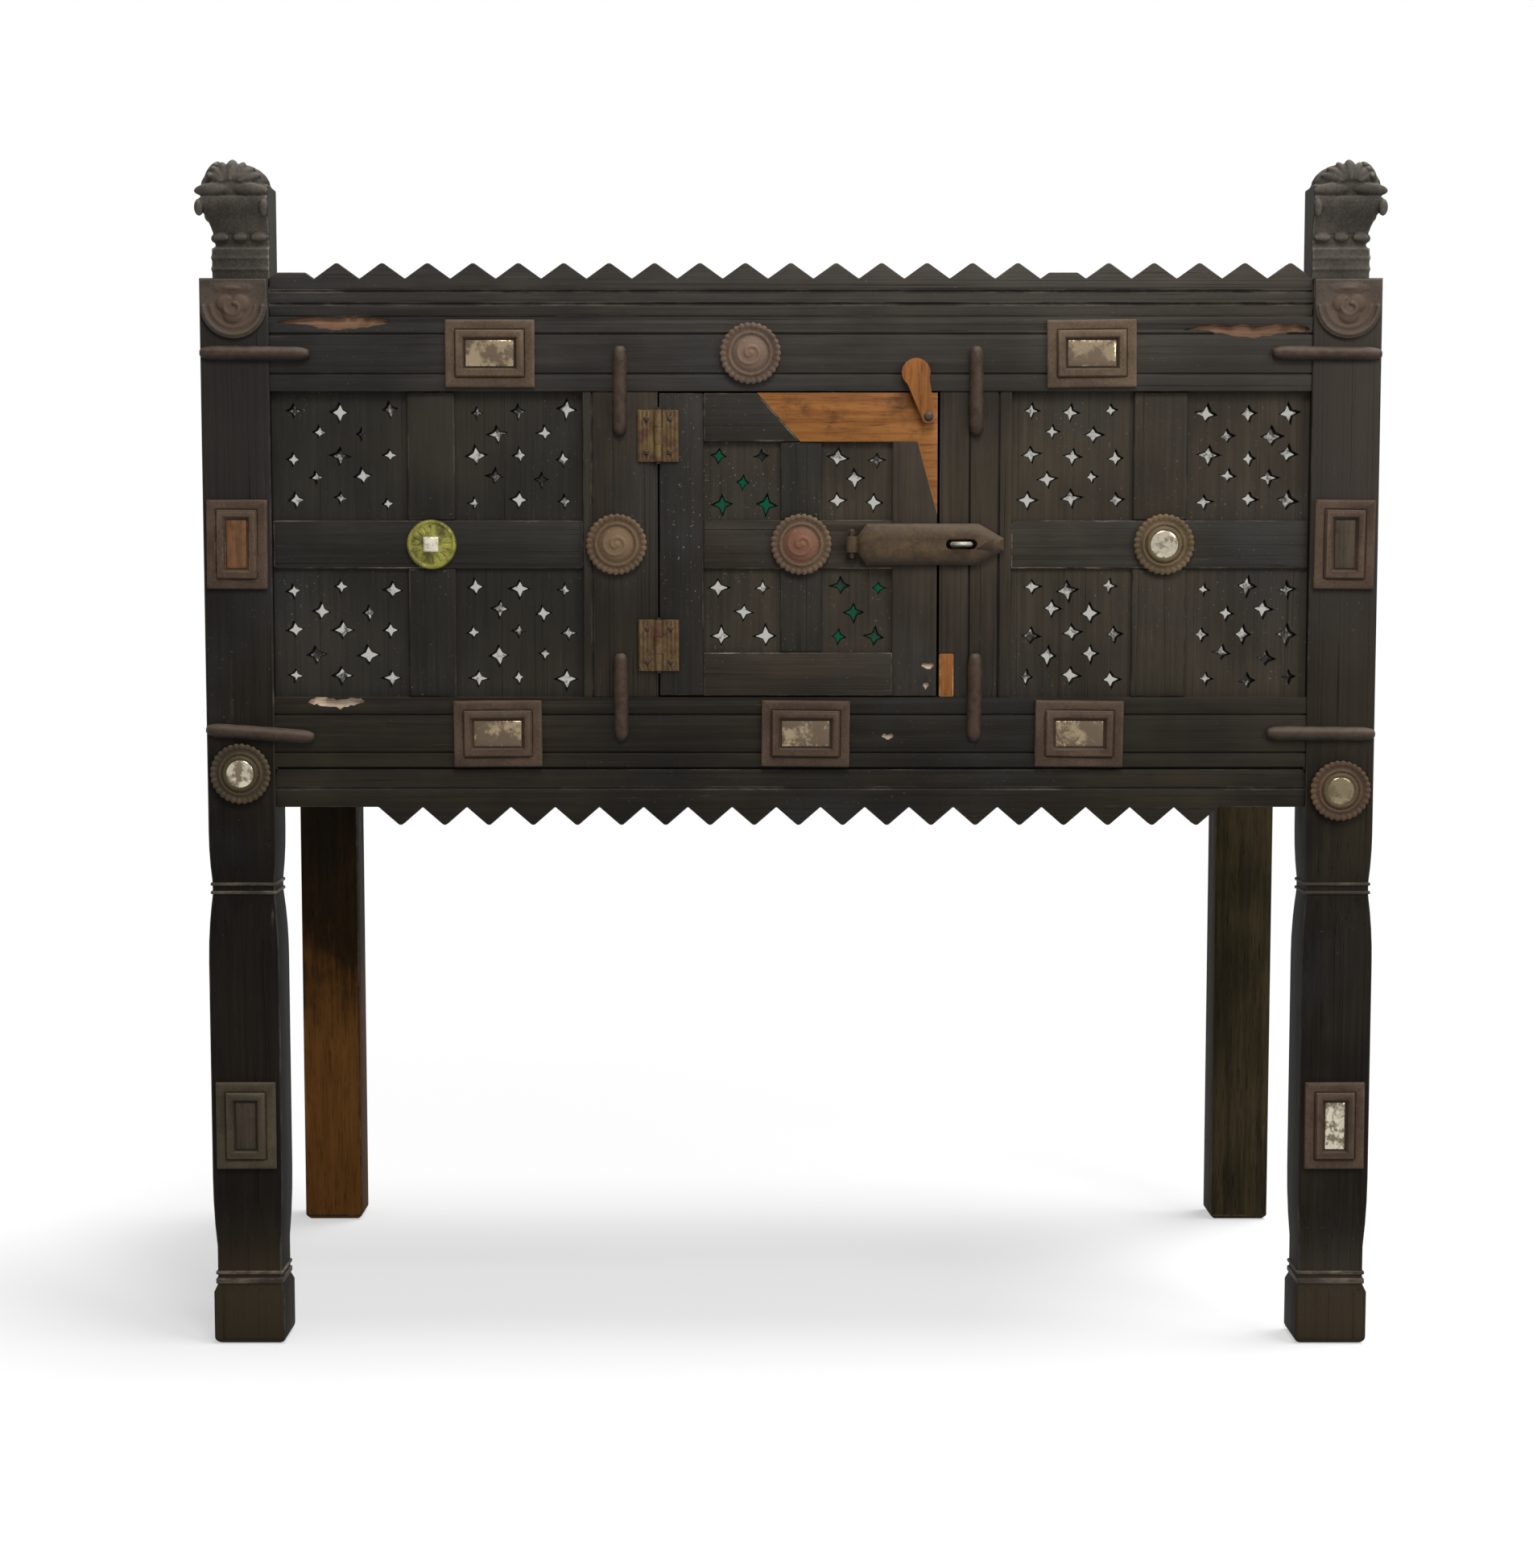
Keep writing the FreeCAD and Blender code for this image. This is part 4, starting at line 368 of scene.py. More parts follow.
def bare_leg(name, top_tones, low_tones, level):
    """A back post: dark above, bare brown wood below a ragged line, with painted shade on its sides."""
    finish = Finish(name, Specular_IOR_Level=LEG_GLOSS)
    along = finish.stretched(GRAIN["z"])
    streak = finish.noise(along, 150, 7, 0.62)
    broad = finish.noise(finish.place, 9, 4)
    pores = finish.band(finish.noise(along, 800, 3), 0.58, 0.70)
    bare = finish.mix(*low_tones, finish.band(streak * 0.7 + broad * 0.4, 0.4, 0.75))
    paint = finish.mix(*top_tones, finish.band(streak * 0.6 + broad * 0.5, 0.42, 0.8))
    line = finish.measure("Z") + (broad - 0.5) * 0.4 + (streak - 0.5) * 0.3
    wood = finish.mix(bare, paint, finish.band(line, level - 0.06, level + 0.08))
    wood = finish.mix(wood, (14, 10, 6), pores * 0.4)
    # painted shade on the left and right sides
    finish.colour(finish.mix(wood, (18, 12, 6), finish.sideways() * 0.7))
    finish.rough(0.62 + streak * 0.2)
    finish.bump(streak - pores * 0.5, 0.0010)
    return finish.material


# Painted wood: grain, deep and light paint, bare wood, scuffs
PALE = (112, 102, 88)
post_paint = old_paint("post_paint", "z", (17, 14, 11), (38, 33, 26), PALE, 0.3, painted_light=0.42, leg=True)
rail_paint = old_paint("rail_paint", "x", (28, 26, 24), (54, 51, 47), PALE, 0.4, painted_light=0.2)
crest_paint = old_paint("crest_paint", "x", (31, 28, 25), (60, 56, 51), PALE, 0.45, painted_light=0.25)
low_rail_paint = old_paint("low_rail_paint", "x", (18, 15, 10), (41, 36, 27), PALE, 0.45, painted_light=0.3)
bay_paint = old_paint("bay_paint", "z", (27, 25, 21), (48, 45, 39), PALE, 0.35, cracks=0.25, flecks=1.0)
bay_rail_paint = old_paint("bay_rail_paint", "x", (28, 26, 22), (52, 49, 43), PALE, 0.4, painted_light=0.2)
door_rail_paint = old_paint("door_rail_paint", "x", (32, 27, 21), (59, 51, 41), PALE, 0.4, painted_light=0.2)
worn_bay_paint = old_paint(
    "worn_bay_paint", "z", (36, 31, 24), (63, 56, 45), PALE, 0.3, cracks=0.25, painted_light=0.12, flecks=1.0
)
worn_bay_rail_paint = old_paint("worn_bay_rail_paint", "x", (31, 29, 25), (59, 55, 48), PALE, 0.5, painted_light=0.1)
jamb_paint = old_paint("jamb_paint", "z", (30, 25, 19), (60, 52, 42), PALE, 0.45)
BOARD = ((40, 31, 22), (86, 67, 47), (130, 104, 76), 0.5, 0.45)
plain_x, plain_y, plain_z = (old_paint(f"plain_board_{grain}", grain, *BOARD) for grain in "xyz")

# Rubbed edges: grain, surface, what lies under it, how much of it shows
edge_x = rubbed_edge("rubbed_edge_x", "x", (34, 31, 27), (126, 117, 104), 0.85)
dull_edge_x = rubbed_edge("dull_edge_x", "x", (32, 29, 26), (92, 86, 78), 0.55)
edge_z = rubbed_edge("rubbed_edge_z", "z", (28, 25, 22), (92, 84, 73), 0.4)
cord_paint = rubbed_edge("cord_paint", "x", (48, 42, 36), (116, 104, 90), 0.9)
# painted shade: the dark walls of the star holes, scored lines and seams
painted_shade_wall = rubbed_edge("painted_shade_wall", "z", (17, 15, 12), (50, 45, 38), 0.5)
plain_edge = rubbed_edge("plain_board_edge", "z", (46, 36, 26), (128, 104, 78), 0.7)
repair_edge = rubbed_edge("repair_wood_edge", "x", (120, 76, 40), (204, 164, 120), 0.8)
plaque_edge = rubbed_edge("plaque_edge", "x", (56, 43, 34), (110, 90, 74), 0.6)
iron_edge = rubbed_edge("iron_edge", "x", (72, 61, 49), (128, 114, 96), 0.7)
hinge_edge = rubbed_edge("hinge_edge", "z", (88, 66, 43), (146, 116, 80), 0.7)

# Unpainted wood: grain, deep and light wood, pores
repair_wood = fresh_wood("repair_wood", "x", (98, 56, 21), (147, 96, 46), (58, 33, 13))
repair_wood_z = fresh_wood("repair_wood_z", "z", (98, 56, 21), (146, 93, 43), (58, 33, 13))
torn_wood = fresh_wood("torn_wood", "x", (84, 58, 41), (134, 102, 77), (52, 37, 26))
pale_chip = fresh_wood("pale_chip", "x", (140, 116, 94), (206, 190, 170), (96, 70, 50))
orange_panel = fresh_wood("orange_panel", "z", (66, 52, 32), (118, 78, 47), (48, 34, 20))
brown_panel = fresh_wood("brown_panel", "z", (40, 33, 24), (68, 57, 43), (25, 20, 15))

# Carving: deep and light paint, ridge colour (rubbed wear with a painted highlight), how much of it shows
plaque_wood = carved_paint("plaque_wood", (51, 39, 31), (82, 66, 53), (108, 88, 72), 0.4)
pale_plaque = carved_paint("pale_plaque", (60, 48, 37), (93, 77, 61), (118, 99, 80), 0.4)
dull_plaque = carved_paint("dull_plaque", (44, 38, 28), (70, 61, 47), (90, 80, 64), 0.4)
# the pale ridge colour is partly a painted highlight on the beads; the sides get painted shade
finial_wood = carved_paint("finial_wood", (42, 38, 33), (76, 70, 63), (134, 126, 115), 0.7, side_shade=0.9)

# Mirrors: silver, spoilt silver, where the clouds begin and end, their scale
clear_mirror = old_mirror("clear_mirror", (180, 179, 172), (66, 62, 56), 0.50, 0.64)
green_mirror = old_mirror("green_mirror", (14, 82, 56), (9, 32, 25), 0.46, 0.66)
cloudy_mirror = old_mirror("cloudy_mirror", (152, 136, 110), (84, 68, 50), 0.44, 0.56, 50)
dull_mirror = old_mirror("dull_mirror", (126, 114, 90), (82, 72, 50), 0.44, 0.56, 50)
bright_mirror = old_mirror("bright_mirror", (184, 176, 156), (104, 92, 74), 0.48, 0.62, 110)

# Iron: deep and light metal, rust, shine
iron = forged_iron("iron", (40, 30, 23), (66, 51, 39), (58, 40, 29))
# pale steel whose near-white colour is partly a painted highlight
bright_steel_and_highlight = forged_iron("bright_steel_and_highlight", (150, 144, 132), (205, 200, 188), (120, 96, 72), 0.7)
strap_iron = forged_iron("strap_iron", (46, 35, 21), (80, 61, 38), (60, 43, 26), 0.3)

# Thin sheet metal: bright, dull, shine
hinge_brass = tarnished_brass("hinge_brass", (92, 75, 42), (70, 43, 31), 0.35)
disc_brass = tarnished_brass("disc_brass", (138, 135, 58), (78, 74, 32), 0.3)
stud_tin = tarnished_brass("stud_tin", (204, 197, 178), (158, 147, 126), 0.4)

# Back posts: tones above and below, height of the line between them
left_leg = bare_leg("left_back_leg", ((24, 17, 9), (58, 41, 21)), ((110, 71, 30), (142, 96, 49)), 0.29)
right_leg = bare_leg("right_back_leg", ((38, 33, 21), (72, 62, 41)), ((42, 36, 24), (76, 66, 45)), 0.2)

LOOKS = {
    post_paint: ("front_post_left", "front_post_right"),
    left_leg: ("back_post_left",),
    right_leg: ("back_post_right",),
    crest_paint: ("crest_board",),
    low_rail_paint: ("apron_board", "front_bottom_rail", "door_top_rail"),
    rail_paint: ("front_top_rail",),
    plain_x: ("back_top_rail", "back_bottom_rail", "top_boards", "floor_boards", "bay_backing_boards"),
    plain_y: ("left_side_rails", "right_side_rails", "floor_bearers"),
    plain_z: ("left_side_boards", "right_side_boards", "back_boards", "door_backing"),
    bay_rail_paint: ("left_bay_cross_rail",),
    door_rail_paint: ("door_bottom_rail", "door_cross_rail"),
    worn_bay_rail_paint: ("right_bay_cross_rail",),
    bay_paint: ("left_bay_muntins", "left_bay_fret_panels", "door_hinge_stile", "door_muntins"),
    worn_bay_paint: ("right_bay_muntins", "right_bay_fret_panels", "door_fret_panels"),
    jamb_paint: ("door_jamb_left", "door_jamb_right", "door_lock_stile"),
    repair_wood: ("door_patch",),
    repair_wood_z: ("jamb_patch", "turn_button"),
    plaque_wood: ("rail_plaques", "post_plaques"),
    disc_brass: ("brass_disc",),
    hinge_brass: ("hinge_jamb_leaves", "hinge_door_leaves"),
    iron: ("hinge_pins", "hasp", "wire_staple", "corner_cramps", "jamb_cramps", "turn_button_nail"),
    bright_steel_and_highlight: ("lock_staple",),
    clear_mirror: ("left_bay_mirrors", "right_bay_mirrors", "door_clear_mirrors"),
    green_mirror: ("door_green_mirrors",),
    cloudy_mirror: ("plaque_mirrors", "rosette_centres"),
}
look_of = {label: look for look, labels in LOOKS.items() for label in labels}
for label, look in look_of.items():
    nodes[label].data.materials.clear()
    nodes[label].data.materials.append(look)


# The bench


def pick(*pieces):
    """Selects these pieces alone."""
    bpy.ops.object.select_all(action="DESELECT")
    for piece in pieces:
        piece.select_set(True)
    bpy.context.view_layer.objects.active = pieces[0]


def apply_modifier(piece, kind, **settings):
    pick(piece)
    modifier = piece.modifiers.new(kind.title(), kind)
    for name, value in settings.items():
        setattr(modifier, name, value)
    bpy.ops.object.modifier_apply(modifier=modifier.name)


FRONTWARD = (math.pi / 2, 0, 0)


def mm(*sizes):
    """Sizes in millimetres, as metres."""
    return [size * MM for size in sizes]


def primitive(add, scale=(1, 1, 1), **settings):
    """Adds a primitive, gives it its size and leaves its place in its mesh."""
    bpy.ops.object.select_all(action="DESELECT")
    add(**settings)
    piece = bpy.context.object
    piece.scale = scale
    bpy.ops.object.transform_apply(location=True, rotation=True, scale=True)
    return piece


def block(first, second):
    """A cuboid between two corners."""
    first, second = Vector(first), Vector(second)
    spans = [abs(span) for span in second - first]
    return primitive(bpy.ops.mesh.primitive_cube_add, spans, size=1, location=(first + second) / 2)


def ball(centre, radii, turn=(0, 0, 0)):
    return primitive(
        bpy.ops.mesh.primitive_uv_sphere_add, radii, segments=20, ring_count=12, radius=1, location=centre,
        rotation=turn,
    )


def drum(centre, radius, depth, sides=48):
    """A round block that faces the front."""
    return primitive(
        bpy.ops.mesh.primitive_cylinder_add, vertices=sides, radius=radius, depth=depth, location=centre,
        rotation=FRONTWARD,
    )


def ring(centre, radius, thickness):
    """A round moulding that faces the front."""
    return primitive(
        bpy.ops.mesh.primitive_torus_add, major_radius=radius, minor_radius=thickness, major_segments=48,
        minor_segments=10, location=centre, rotation=FRONTWARD,
    )


def shape(piece, chosen, *steps):
    """Shapes the faces that a test chooses: each step is an operator with its settings."""
    pick(piece)
    bpy.ops.object.mode_set(mode="EDIT")
    bpy.ops.mesh.select_mode(type="FACE")
    bpy.ops.mesh.select_all(action="DESELECT")
    mesh = bmesh.from_edit_mesh(piece.data)
    for face in mesh.faces:
        face.select_set(chosen(face))
    mesh.select_flush_mode()
    bmesh.update_edit_mesh(piece.data)
    for operator, settings in steps:
        operator(**settings)
    bpy.ops.object.mode_set(mode="OBJECT")


def every_face(face):
    return True


def front_face(face):
    return face.normal.y < -0.9


def side_face(face):
    return abs(face.normal.z) < 0.5


def end_face(sign):
    """A test for the left end of a piece, or for its right end."""
    return lambda face: face.normal.x * sign > 0.9


def inset(thickness, depth):
    return bpy.ops.mesh.inset, {"thickness": thickness * MM, "depth": depth * MM}


def draw_out(shift):
    return bpy.ops.mesh.extrude_region_move, {"TRANSFORM_OT_translate": {"value": shift}}


def resize(factors, centre):
    return bpy.ops.transform.resize, {"value": factors, "center_override": centre}


def cut_off(place, direction):
    """Takes off what lies past a place."""
    settings = {"plane_co": place, "plane_no": direction, "use_fill": True, "clear_outer": True}
    return bpy.ops.mesh.bisect, settings


def everything():
    return bpy.ops.mesh.select_all, {"action": "SELECT"}


def outwards():
    return bpy.ops.mesh.normals_make_consistent, {"inside": False}


def joined(parts):
    """Makes one piece of several."""
    pick(*parts)
    bpy.ops.object.join()
    return bpy.context.object


def carved(parts, fineness, passes):
    """Makes one carved solid of rough pieces that overlap, and softens it."""
    piece = joined(parts)
    apply_modifier(piece, "REMESH", mode="VOXEL", voxel_size=fineness)
    apply_modifier(piece, "SMOOTH", factor=0.5, iterations=passes)
    pick(piece)
    bpy.ops.object.shade_smooth()
    return piece


def soften(piece, width, segments=2, edge_look=None):
    """Rounds the edges, in a look of their own where one is given."""
    if edge_look:
        piece.data.materials.append(edge_look)
    apply_modifier(
        piece, "BEVEL", width=width, segments=segments, limit_method="ANGLE", angle_limit=math.radians(28),
        material=len(piece.data.materials) - 1 if edge_look else -1, use_clamp_overlap=True,
    )
    pick(piece)
    bpy.ops.object.shade_smooth_by_angle(angle=math.radians(40))


def copy_of(pattern, place, turn=0.0, size=(1, 1, 1)):
    """Another piece of the same make, turned as seen from the front and set down at its place."""
    mesh = pattern.data.copy()
    mesh.transform(Matrix.Translation(place) @ Matrix.Rotation(turn, 4, "Y") @ Matrix.Diagonal((*size, 1)))
    piece = bpy.data.objects.new(pattern.name, mesh)
    bpy.context.scene.collection.objects.link(piece)
    return piece


def discard(*pieces):
    for piece in pieces:
        bpy.data.objects.remove(piece)


def dressed(piece, *looks):
    piece.data.materials.clear()
    for look in looks:
        piece.data.materials.append(look)
    return piece


def settle(piece, name, carrier, replaced=True):
    """Names a finished piece and sets it on the body of the node that it stands for or lies on."""
    piece.name = name
    piece.data.name = name
    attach(piece, nodes[carrier]["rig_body"])
    if replaced:
        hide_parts(carrier)
    return piece


def solids(label):
    """The boxes of a node's separate solids, from left to right, then from the bottom up."""
    mesh = bmesh.new()
    mesh.from_mesh(nodes[label].data)
    bmesh.ops.remove_doubles(mesh, verts=mesh.verts, dist=0.00001)
    loose, boxes = set(mesh.verts), []
    while loose:
        reached = [loose.pop()]
        for vertex in reached:
            for edge in vertex.link_edges:
                other = edge.other_vert(vertex)
                if other in loose:
                    loose.remove(other)
                    reached.append(other)
        low = Vector([min(vertex.co[axis] for vertex in reached) for axis in range(3)])
        high = Vector([max(vertex.co[axis] for vertex in reached) for axis in range(3)])
        boxes.append((low, high))
    mesh.free()
    return sorted(boxes, key=lambda box: (round(box[0].x, 3), box[0].z))


# Worn pieces that stand for the square-edged ones


def whole(label):
    """A copy of a node with its triangles made into whole faces."""
    piece = bpy.data.objects.new(label, nodes[label].data.copy())
    bpy.context.scene.collection.objects.link(piece)
    shape(
        piece, every_face,
        (bpy.ops.mesh.remove_doubles, {"threshold": 0.00001}),
        (bpy.ops.mesh.dissolve_limited, {"angle_limit": math.radians(0.5)}),
    )
    return piece


def cut_away(piece, cutter):
    """Takes a cutter out of a piece; the cut shows the cutter's look."""
    apply_modifier(
        piece, "BOOLEAN", operation="DIFFERENCE", object=cutter, solver="EXACT", material_mode="TRANSFER",
    )
    discard(cutter)


WORN_EDGE = 0.0016


def worn(label, edge_look, width=WORN_EDGE, segments=2, cutters=()):
    """A copy of a node with its splits and chips cut out and its edges rounded."""
    piece = whole(label)
    for cutter in cutters:
        cut_away(piece, cutter)
    soften(piece, width, segments, edge_look)
    return settle(piece, f"{label}_worn", label)


# how far a tool starts in front of the face that it cuts
CLEAR = 0.002


def sliver(x_span, z_span, front, depth, look, thin_end=1.0):
    """The tool for a split: a ragged leaf shape, thinner to the left, driven in from the front."""
    length, height = x_span[1] - x_span[0], z_span[1] - z_span[0]
    middle = ((x_span[0] + x_span[1]) / 2, front - CLEAR, (z_span[0] + z_span[1]) / 2)
    piece = primitive(
        bpy.ops.mesh.primitive_circle_add, (length, height, 1), vertices=48, radius=0.5, fill_type="NGON",
        location=middle, rotation=FRONTWARD,
    )
    for vertex in piece.data.vertices:
        along = (vertex.co.x - x_span[0]) / length
        full = min(1, thin_end + (1 - thin_end) * along * 2) * dice.uniform(0.62, 1.18)
        wave = 0.13 * height * math.sin(along * 9)
        vertex.co.z = middle[2] + (vertex.co.z - middle[2]) * full + wave
    shape(piece, every_face, draw_out((0, depth + CLEAR, 0)), everything(), outwards())
    return dressed(piece, look)


def scored(x, z_span, front, width, depth):
    """The tool for a line scored upright into a face."""
    first = (x - width / 2, front - CLEAR, z_span[0])
    second = (x + width / 2, front + depth, z_span[1])
    # the walls of the cut take painted shade
    return dressed(block(first, second), painted_shade_wall)


def shadow_gap(x_span, level, front):
    """The tool for an open seam along the lower edge of a rail."""
    first = (x_span[0], front - CLEAR, level - 0.002)
    second = (x_span[1], front + 0.005, level + 0.0028)
    # the walls of the seam take painted shade
    return dressed(block(first, second), painted_shade_wall)


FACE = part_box("front_top_rail")[0].y
POST_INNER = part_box("front_post_right")[0].x
jamb_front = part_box("door_jamb_right")[0].y
stile_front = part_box("door_lock_stile")[0].y
opening = (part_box("front_bottom_rail")[1].z - 0.03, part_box("front_top_rail")[0].z + 0.03)
SCORE_DEPTH = 0.0016
CUTTERS = {
    # the splits and chips by their reach across and up, the face they are in, and their depth
    "front_top_rail": (
        sliver((-0.507, -0.396), (1.0205, 1.0350), FACE, 0.004, torn_wood, 0.3),
        sliver((0.388, 0.512), (1.014, 1.0275), FACE, 0.004, torn_wood, 0.4),
    ),
    "front_bottom_rail": (
        sliver((-0.481, -0.425), (0.648, 0.6585), FACE, 0.004, pale_chip),
        sliver((0.091, 0.103), (0.6165, 0.6215), FACE, 0.002, pale_chip),
        shadow_gap((-POST_INNER, POST_INNER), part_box("front_bottom_rail")[0].z, FACE),
    ),
    "door_jamb_right": (
        scored(0.1775, opening, jamb_front, 0.0022, SCORE_DEPTH),
        scored(0.2065, opening, jamb_front, 0.0022, SCORE_DEPTH),
    ),
    "door_lock_stile": (
        sliver((0.1305, 0.1435), (0.6865, 0.6925), stile_front, 0.002, pale_chip),
        sliver((0.1320, 0.1380), (0.6670, 0.6730), stile_front, 0.002, pale_chip),
    ),
    "door_jamb_left": (scored(-0.197, opening, jamb_front, 0.0020, SCORE_DEPTH),),
}
EDGES = {
    dull_edge_x: ("crest_board", "apron_board", "front_top_rail", "front_bottom_rail"),
    edge_x: (
        "left_bay_cross_rail", "right_bay_cross_rail", "door_top_rail", "door_bottom_rail", "door_cross_rail",
    ),
    edge_z: (
        "left_bay_muntins", "right_bay_muntins", "door_jamb_left", "door_jamb_right", "door_hinge_stile",
        "door_lock_stile", "door_muntins",
    ),
    plain_edge: (
        "back_post_left", "back_post_right", "back_top_rail", "back_bottom_rail", "left_side_rails",
        "right_side_rails", "floor_bearers",
    ),
    repair_edge: ("door_patch", "jamb_patch", "turn_button"),
}
for edge_look, labels in EDGES.items():
    for label in labels:
        worn(label, edge_look, cutters=CUTTERS.get(label, ()))
WIRE_EDGE = 0.0004
for label in ("wire_staple", "turn_button_nail"):
    worn(label, iron_edge, WIRE_EDGE, 1)
worn("lock_staple", bright_steel_and_highlight, WIRE_EDGE, 1)


# Star panels


def star_pattern():
    """The tool for one star: four uneven points, wider in front than behind."""
    piece = primitive(
        bpy.ops.mesh.primitive_circle_add, vertices=8, radius=1, fill_type="NGON", rotation=FRONTWARD
    )
    for index, vertex in enumerate(piece.data.vertices):
        vertex.co *= dice.uniform(0.38, 0.50) if index % 2 else dice.uniform(0.8, 1.1)
    shape(
        piece, every_face, draw_out((0, 1, 0)), resize((0.62, 1, 0.62), (0, 1, 0)),
        everything(), outwards(),
    )
    # the star's walls take painted shade
    return dressed(piece, painted_shade_wall)


STARS = [star_pattern() for _ in range(6)]
# how far a star may stand off the net, in millimetres
STRAY = 3.2


def star_panel(label, x_span, z_span, margin, columns, reach):
    """One pierced panel: a square net of stars with one more in each of its meshes."""
    front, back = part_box(label)[0].y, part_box(label)[1].y
    panel = dressed(block((x_span[0], front, z_span[0]), (x_span[1], back, z_span[1])), look_of[label])
    tools = []
    for count, start in ((columns, 0.0), (columns - 1, 0.5)):
        for row in range(count):
            for column in range(count):
                place = []
                for span, index in ((x_span, column), (z_span, row)):
                    share = (index + start) / (columns - 1)
                    place.append(span[0] + margin + (span[1] - span[0] - 2 * margin) * share)
                size = reach * dice.choice((0.66, 0.8, 0.92, 1.0, 1.06))
                x = place[0] + dice.uniform(-STRAY, STRAY) * MM
                z = place[1] + dice.uniform(-STRAY, STRAY) * MM
                wide = size * dice.uniform(0.85, 1.1)
                tall = size * dice.uniform(0.85, 1.1)
                star = dice.choice(STARS)
                through = back - front + CLEAR
                spot = (x, front - CLEAR / 2, z)
                tools.append(copy_of(star, spot, dice.uniform(-0.12, 0.12), (wide, through, tall)))
    cut_away(panel, joined(tools))
    return panel


GROOVE = 6 * MM


def star_panels(label, rail, muntins, margin, columns, reach):
    """The four panels of a bay, from the spaces that its rail and muntins leave."""
    low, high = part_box(label)
    bar_low, bar_high = solids(muntins)[0]
    left, right = bar_low.x + GROOVE, bar_high.x - GROOVE
    bottom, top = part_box(rail)[0].z + GROOVE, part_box(rail)[1].z - GROOVE
    for level, z_span in (("lower", (low.z, bottom)), ("upper", (top, high.z))):
        for side, x_span in (("left", (low.x, left)), ("right", (right, high.x))):
            panel = star_panel(label, x_span, z_span, margin + GROOVE, columns, reach)
            settle(panel, f"{label}_{level}_{side}", label)


star_panels("left_bay_fret_panels", "left_bay_cross_rail", "left_bay_muntins", 19 * MM, 3, 11.5 * MM)
star_panels("right_bay_fret_panels", "right_bay_cross_rail", "right_bay_muntins", 19 * MM, 3, 11.5 * MM)
star_panels("door_fret_panels", "door_cross_rail", "door_muntins", 16.5 * MM, 2, 12.5 * MM)
discard(*STARS)


# Posts and their carved heads

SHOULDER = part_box("post_shields")[1].z
POST_HALF = (34, 26)
STEM = (23, 15)
HEAD_STEPS = (
    # height over the shoulder and swell of the carved faces, in millimetres
    (8, 0), (9, 1), (11.5, 1), (12.5, 0), (19, 0), (20, 1), (22.5, 1), (23.5, 0), (30.5, 0), (32, -3),
    (35, -3), (36, -2), (44.5, -2), (45.5, -1), (52, 1), (58, 3.5), (64, 6.5), (70, 9), (76, 10), (79.5, 9),
    (80.5, 5), (83, 3), (92, 3),
)
DOME_LEVEL = 91
DOME_WIDE = 33
DOME_DEEP = 24


def square_turning(start, steps, fixed_corner):
    """A square bar drawn up in steps; two of its sides stay straight, those that meet at the fixed corner."""
    reach = [half + stem for half, stem in zip(POST_HALF, STEM)]
    core = primitive(bpy.ops.mesh.primitive_plane_add, (*mm(*reach), 1), size=1, location=start)
    moves, level = [], 0
    for up, swell in steps:
        new_reach = [half + stem + swell for half, stem in zip(POST_HALF, STEM)]
        moves.append(draw_out((0, 0, (up - level) * MM)))
        moves.append(resize((new_reach[0] / reach[0], new_reach[1] / reach[1], 1), fixed_corner))
        level, reach = up, new_reach
    shape(core, every_face, *moves, everything(), outwards())
    return core


def post_head(label, sign):
    """Banded neck, row of long beads, flaring bell with ears, parted roll and a dome edged with leaves."""
    low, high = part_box(label)
    middle_x = (low.x + high.x) / 2
    middle_y = (low.y + high.y) / 2

    def at(outward, forward, up):
        return (middle_x + sign * outward * MM, middle_y - forward * MM, SHOULDER + up * MM)

    def lump(outward, forward, up, radii, turn=(0, 0, 0)):
        return ball(at(outward, forward, up), mm(*radii), turn)

    start = at((STEM[0] - POST_HALF[0]) / 2, (STEM[1] - POST_HALF[1]) / 2, 0)
    parts = [square_turning(start, HEAD_STEPS, at(-POST_HALF[0], -POST_HALF[1], 0))]
    for shift, length in ((13.5, 8), (-5.5, 7.5), (-24, 8.5)):
        parts.append(lump(shift, 14, 41, (length, 4.6, 4.4)))
    for shift in (8, -6, -19.5):
        parts.append(lump(21, shift, 40.5, (3.8, 6, 4.2)))
    for outward, forward in ((33, 24), (33, -22), (-31, 24)):
        parts.append(lump(outward, forward, 69, (4.8, 4.8, 8.5)))
    for shift, tilt in ((-16, -5), (20, 5)):
        parts.append(lump(shift, 19, 87, (19, 7.5, 6.6), (0, math.radians(tilt * sign), 0)))
    for shift, tilt in ((-12.5, -5), (11, 5)):
        parts.append(lump(29, shift, 87, (7.5, 13, 6.6), (math.radians(tilt), 0, 0)))
    parts.append(lump(1.5, -1, DOME_LEVEL, (35, DOME_DEEP, DOME_DEEP)))
    back = math.radians(34)
    for lean in (-72, -48, -24, 0, 24, 48, 72):
        slope = math.radians(lean)
        across, up = 18 * math.sin(slope), 95 + 11 * math.cos(slope)
        forward = DOME_DEEP * math.sqrt(1 - (across / DOME_WIDE) ** 2 - ((up - DOME_LEVEL) / DOME_DEEP) ** 2)
        leaf = (4.6, 4.2, 12.5) if lean else (6.4, 5.4, 13)
        parts.append(lump(across + 1.5, forward - 2, up, leaf, (-back, slope * sign, 0)))
        side = forward * DOME_WIDE / DOME_DEEP - 2
        parts.append(lump(side, across * 0.72 - 1, up, leaf, (slope, -back * sign, 0)))
    head = dressed(carved(parts, 1.1 * MM, 3), finial_wood)
    settle(head, f"{label}_head", label)


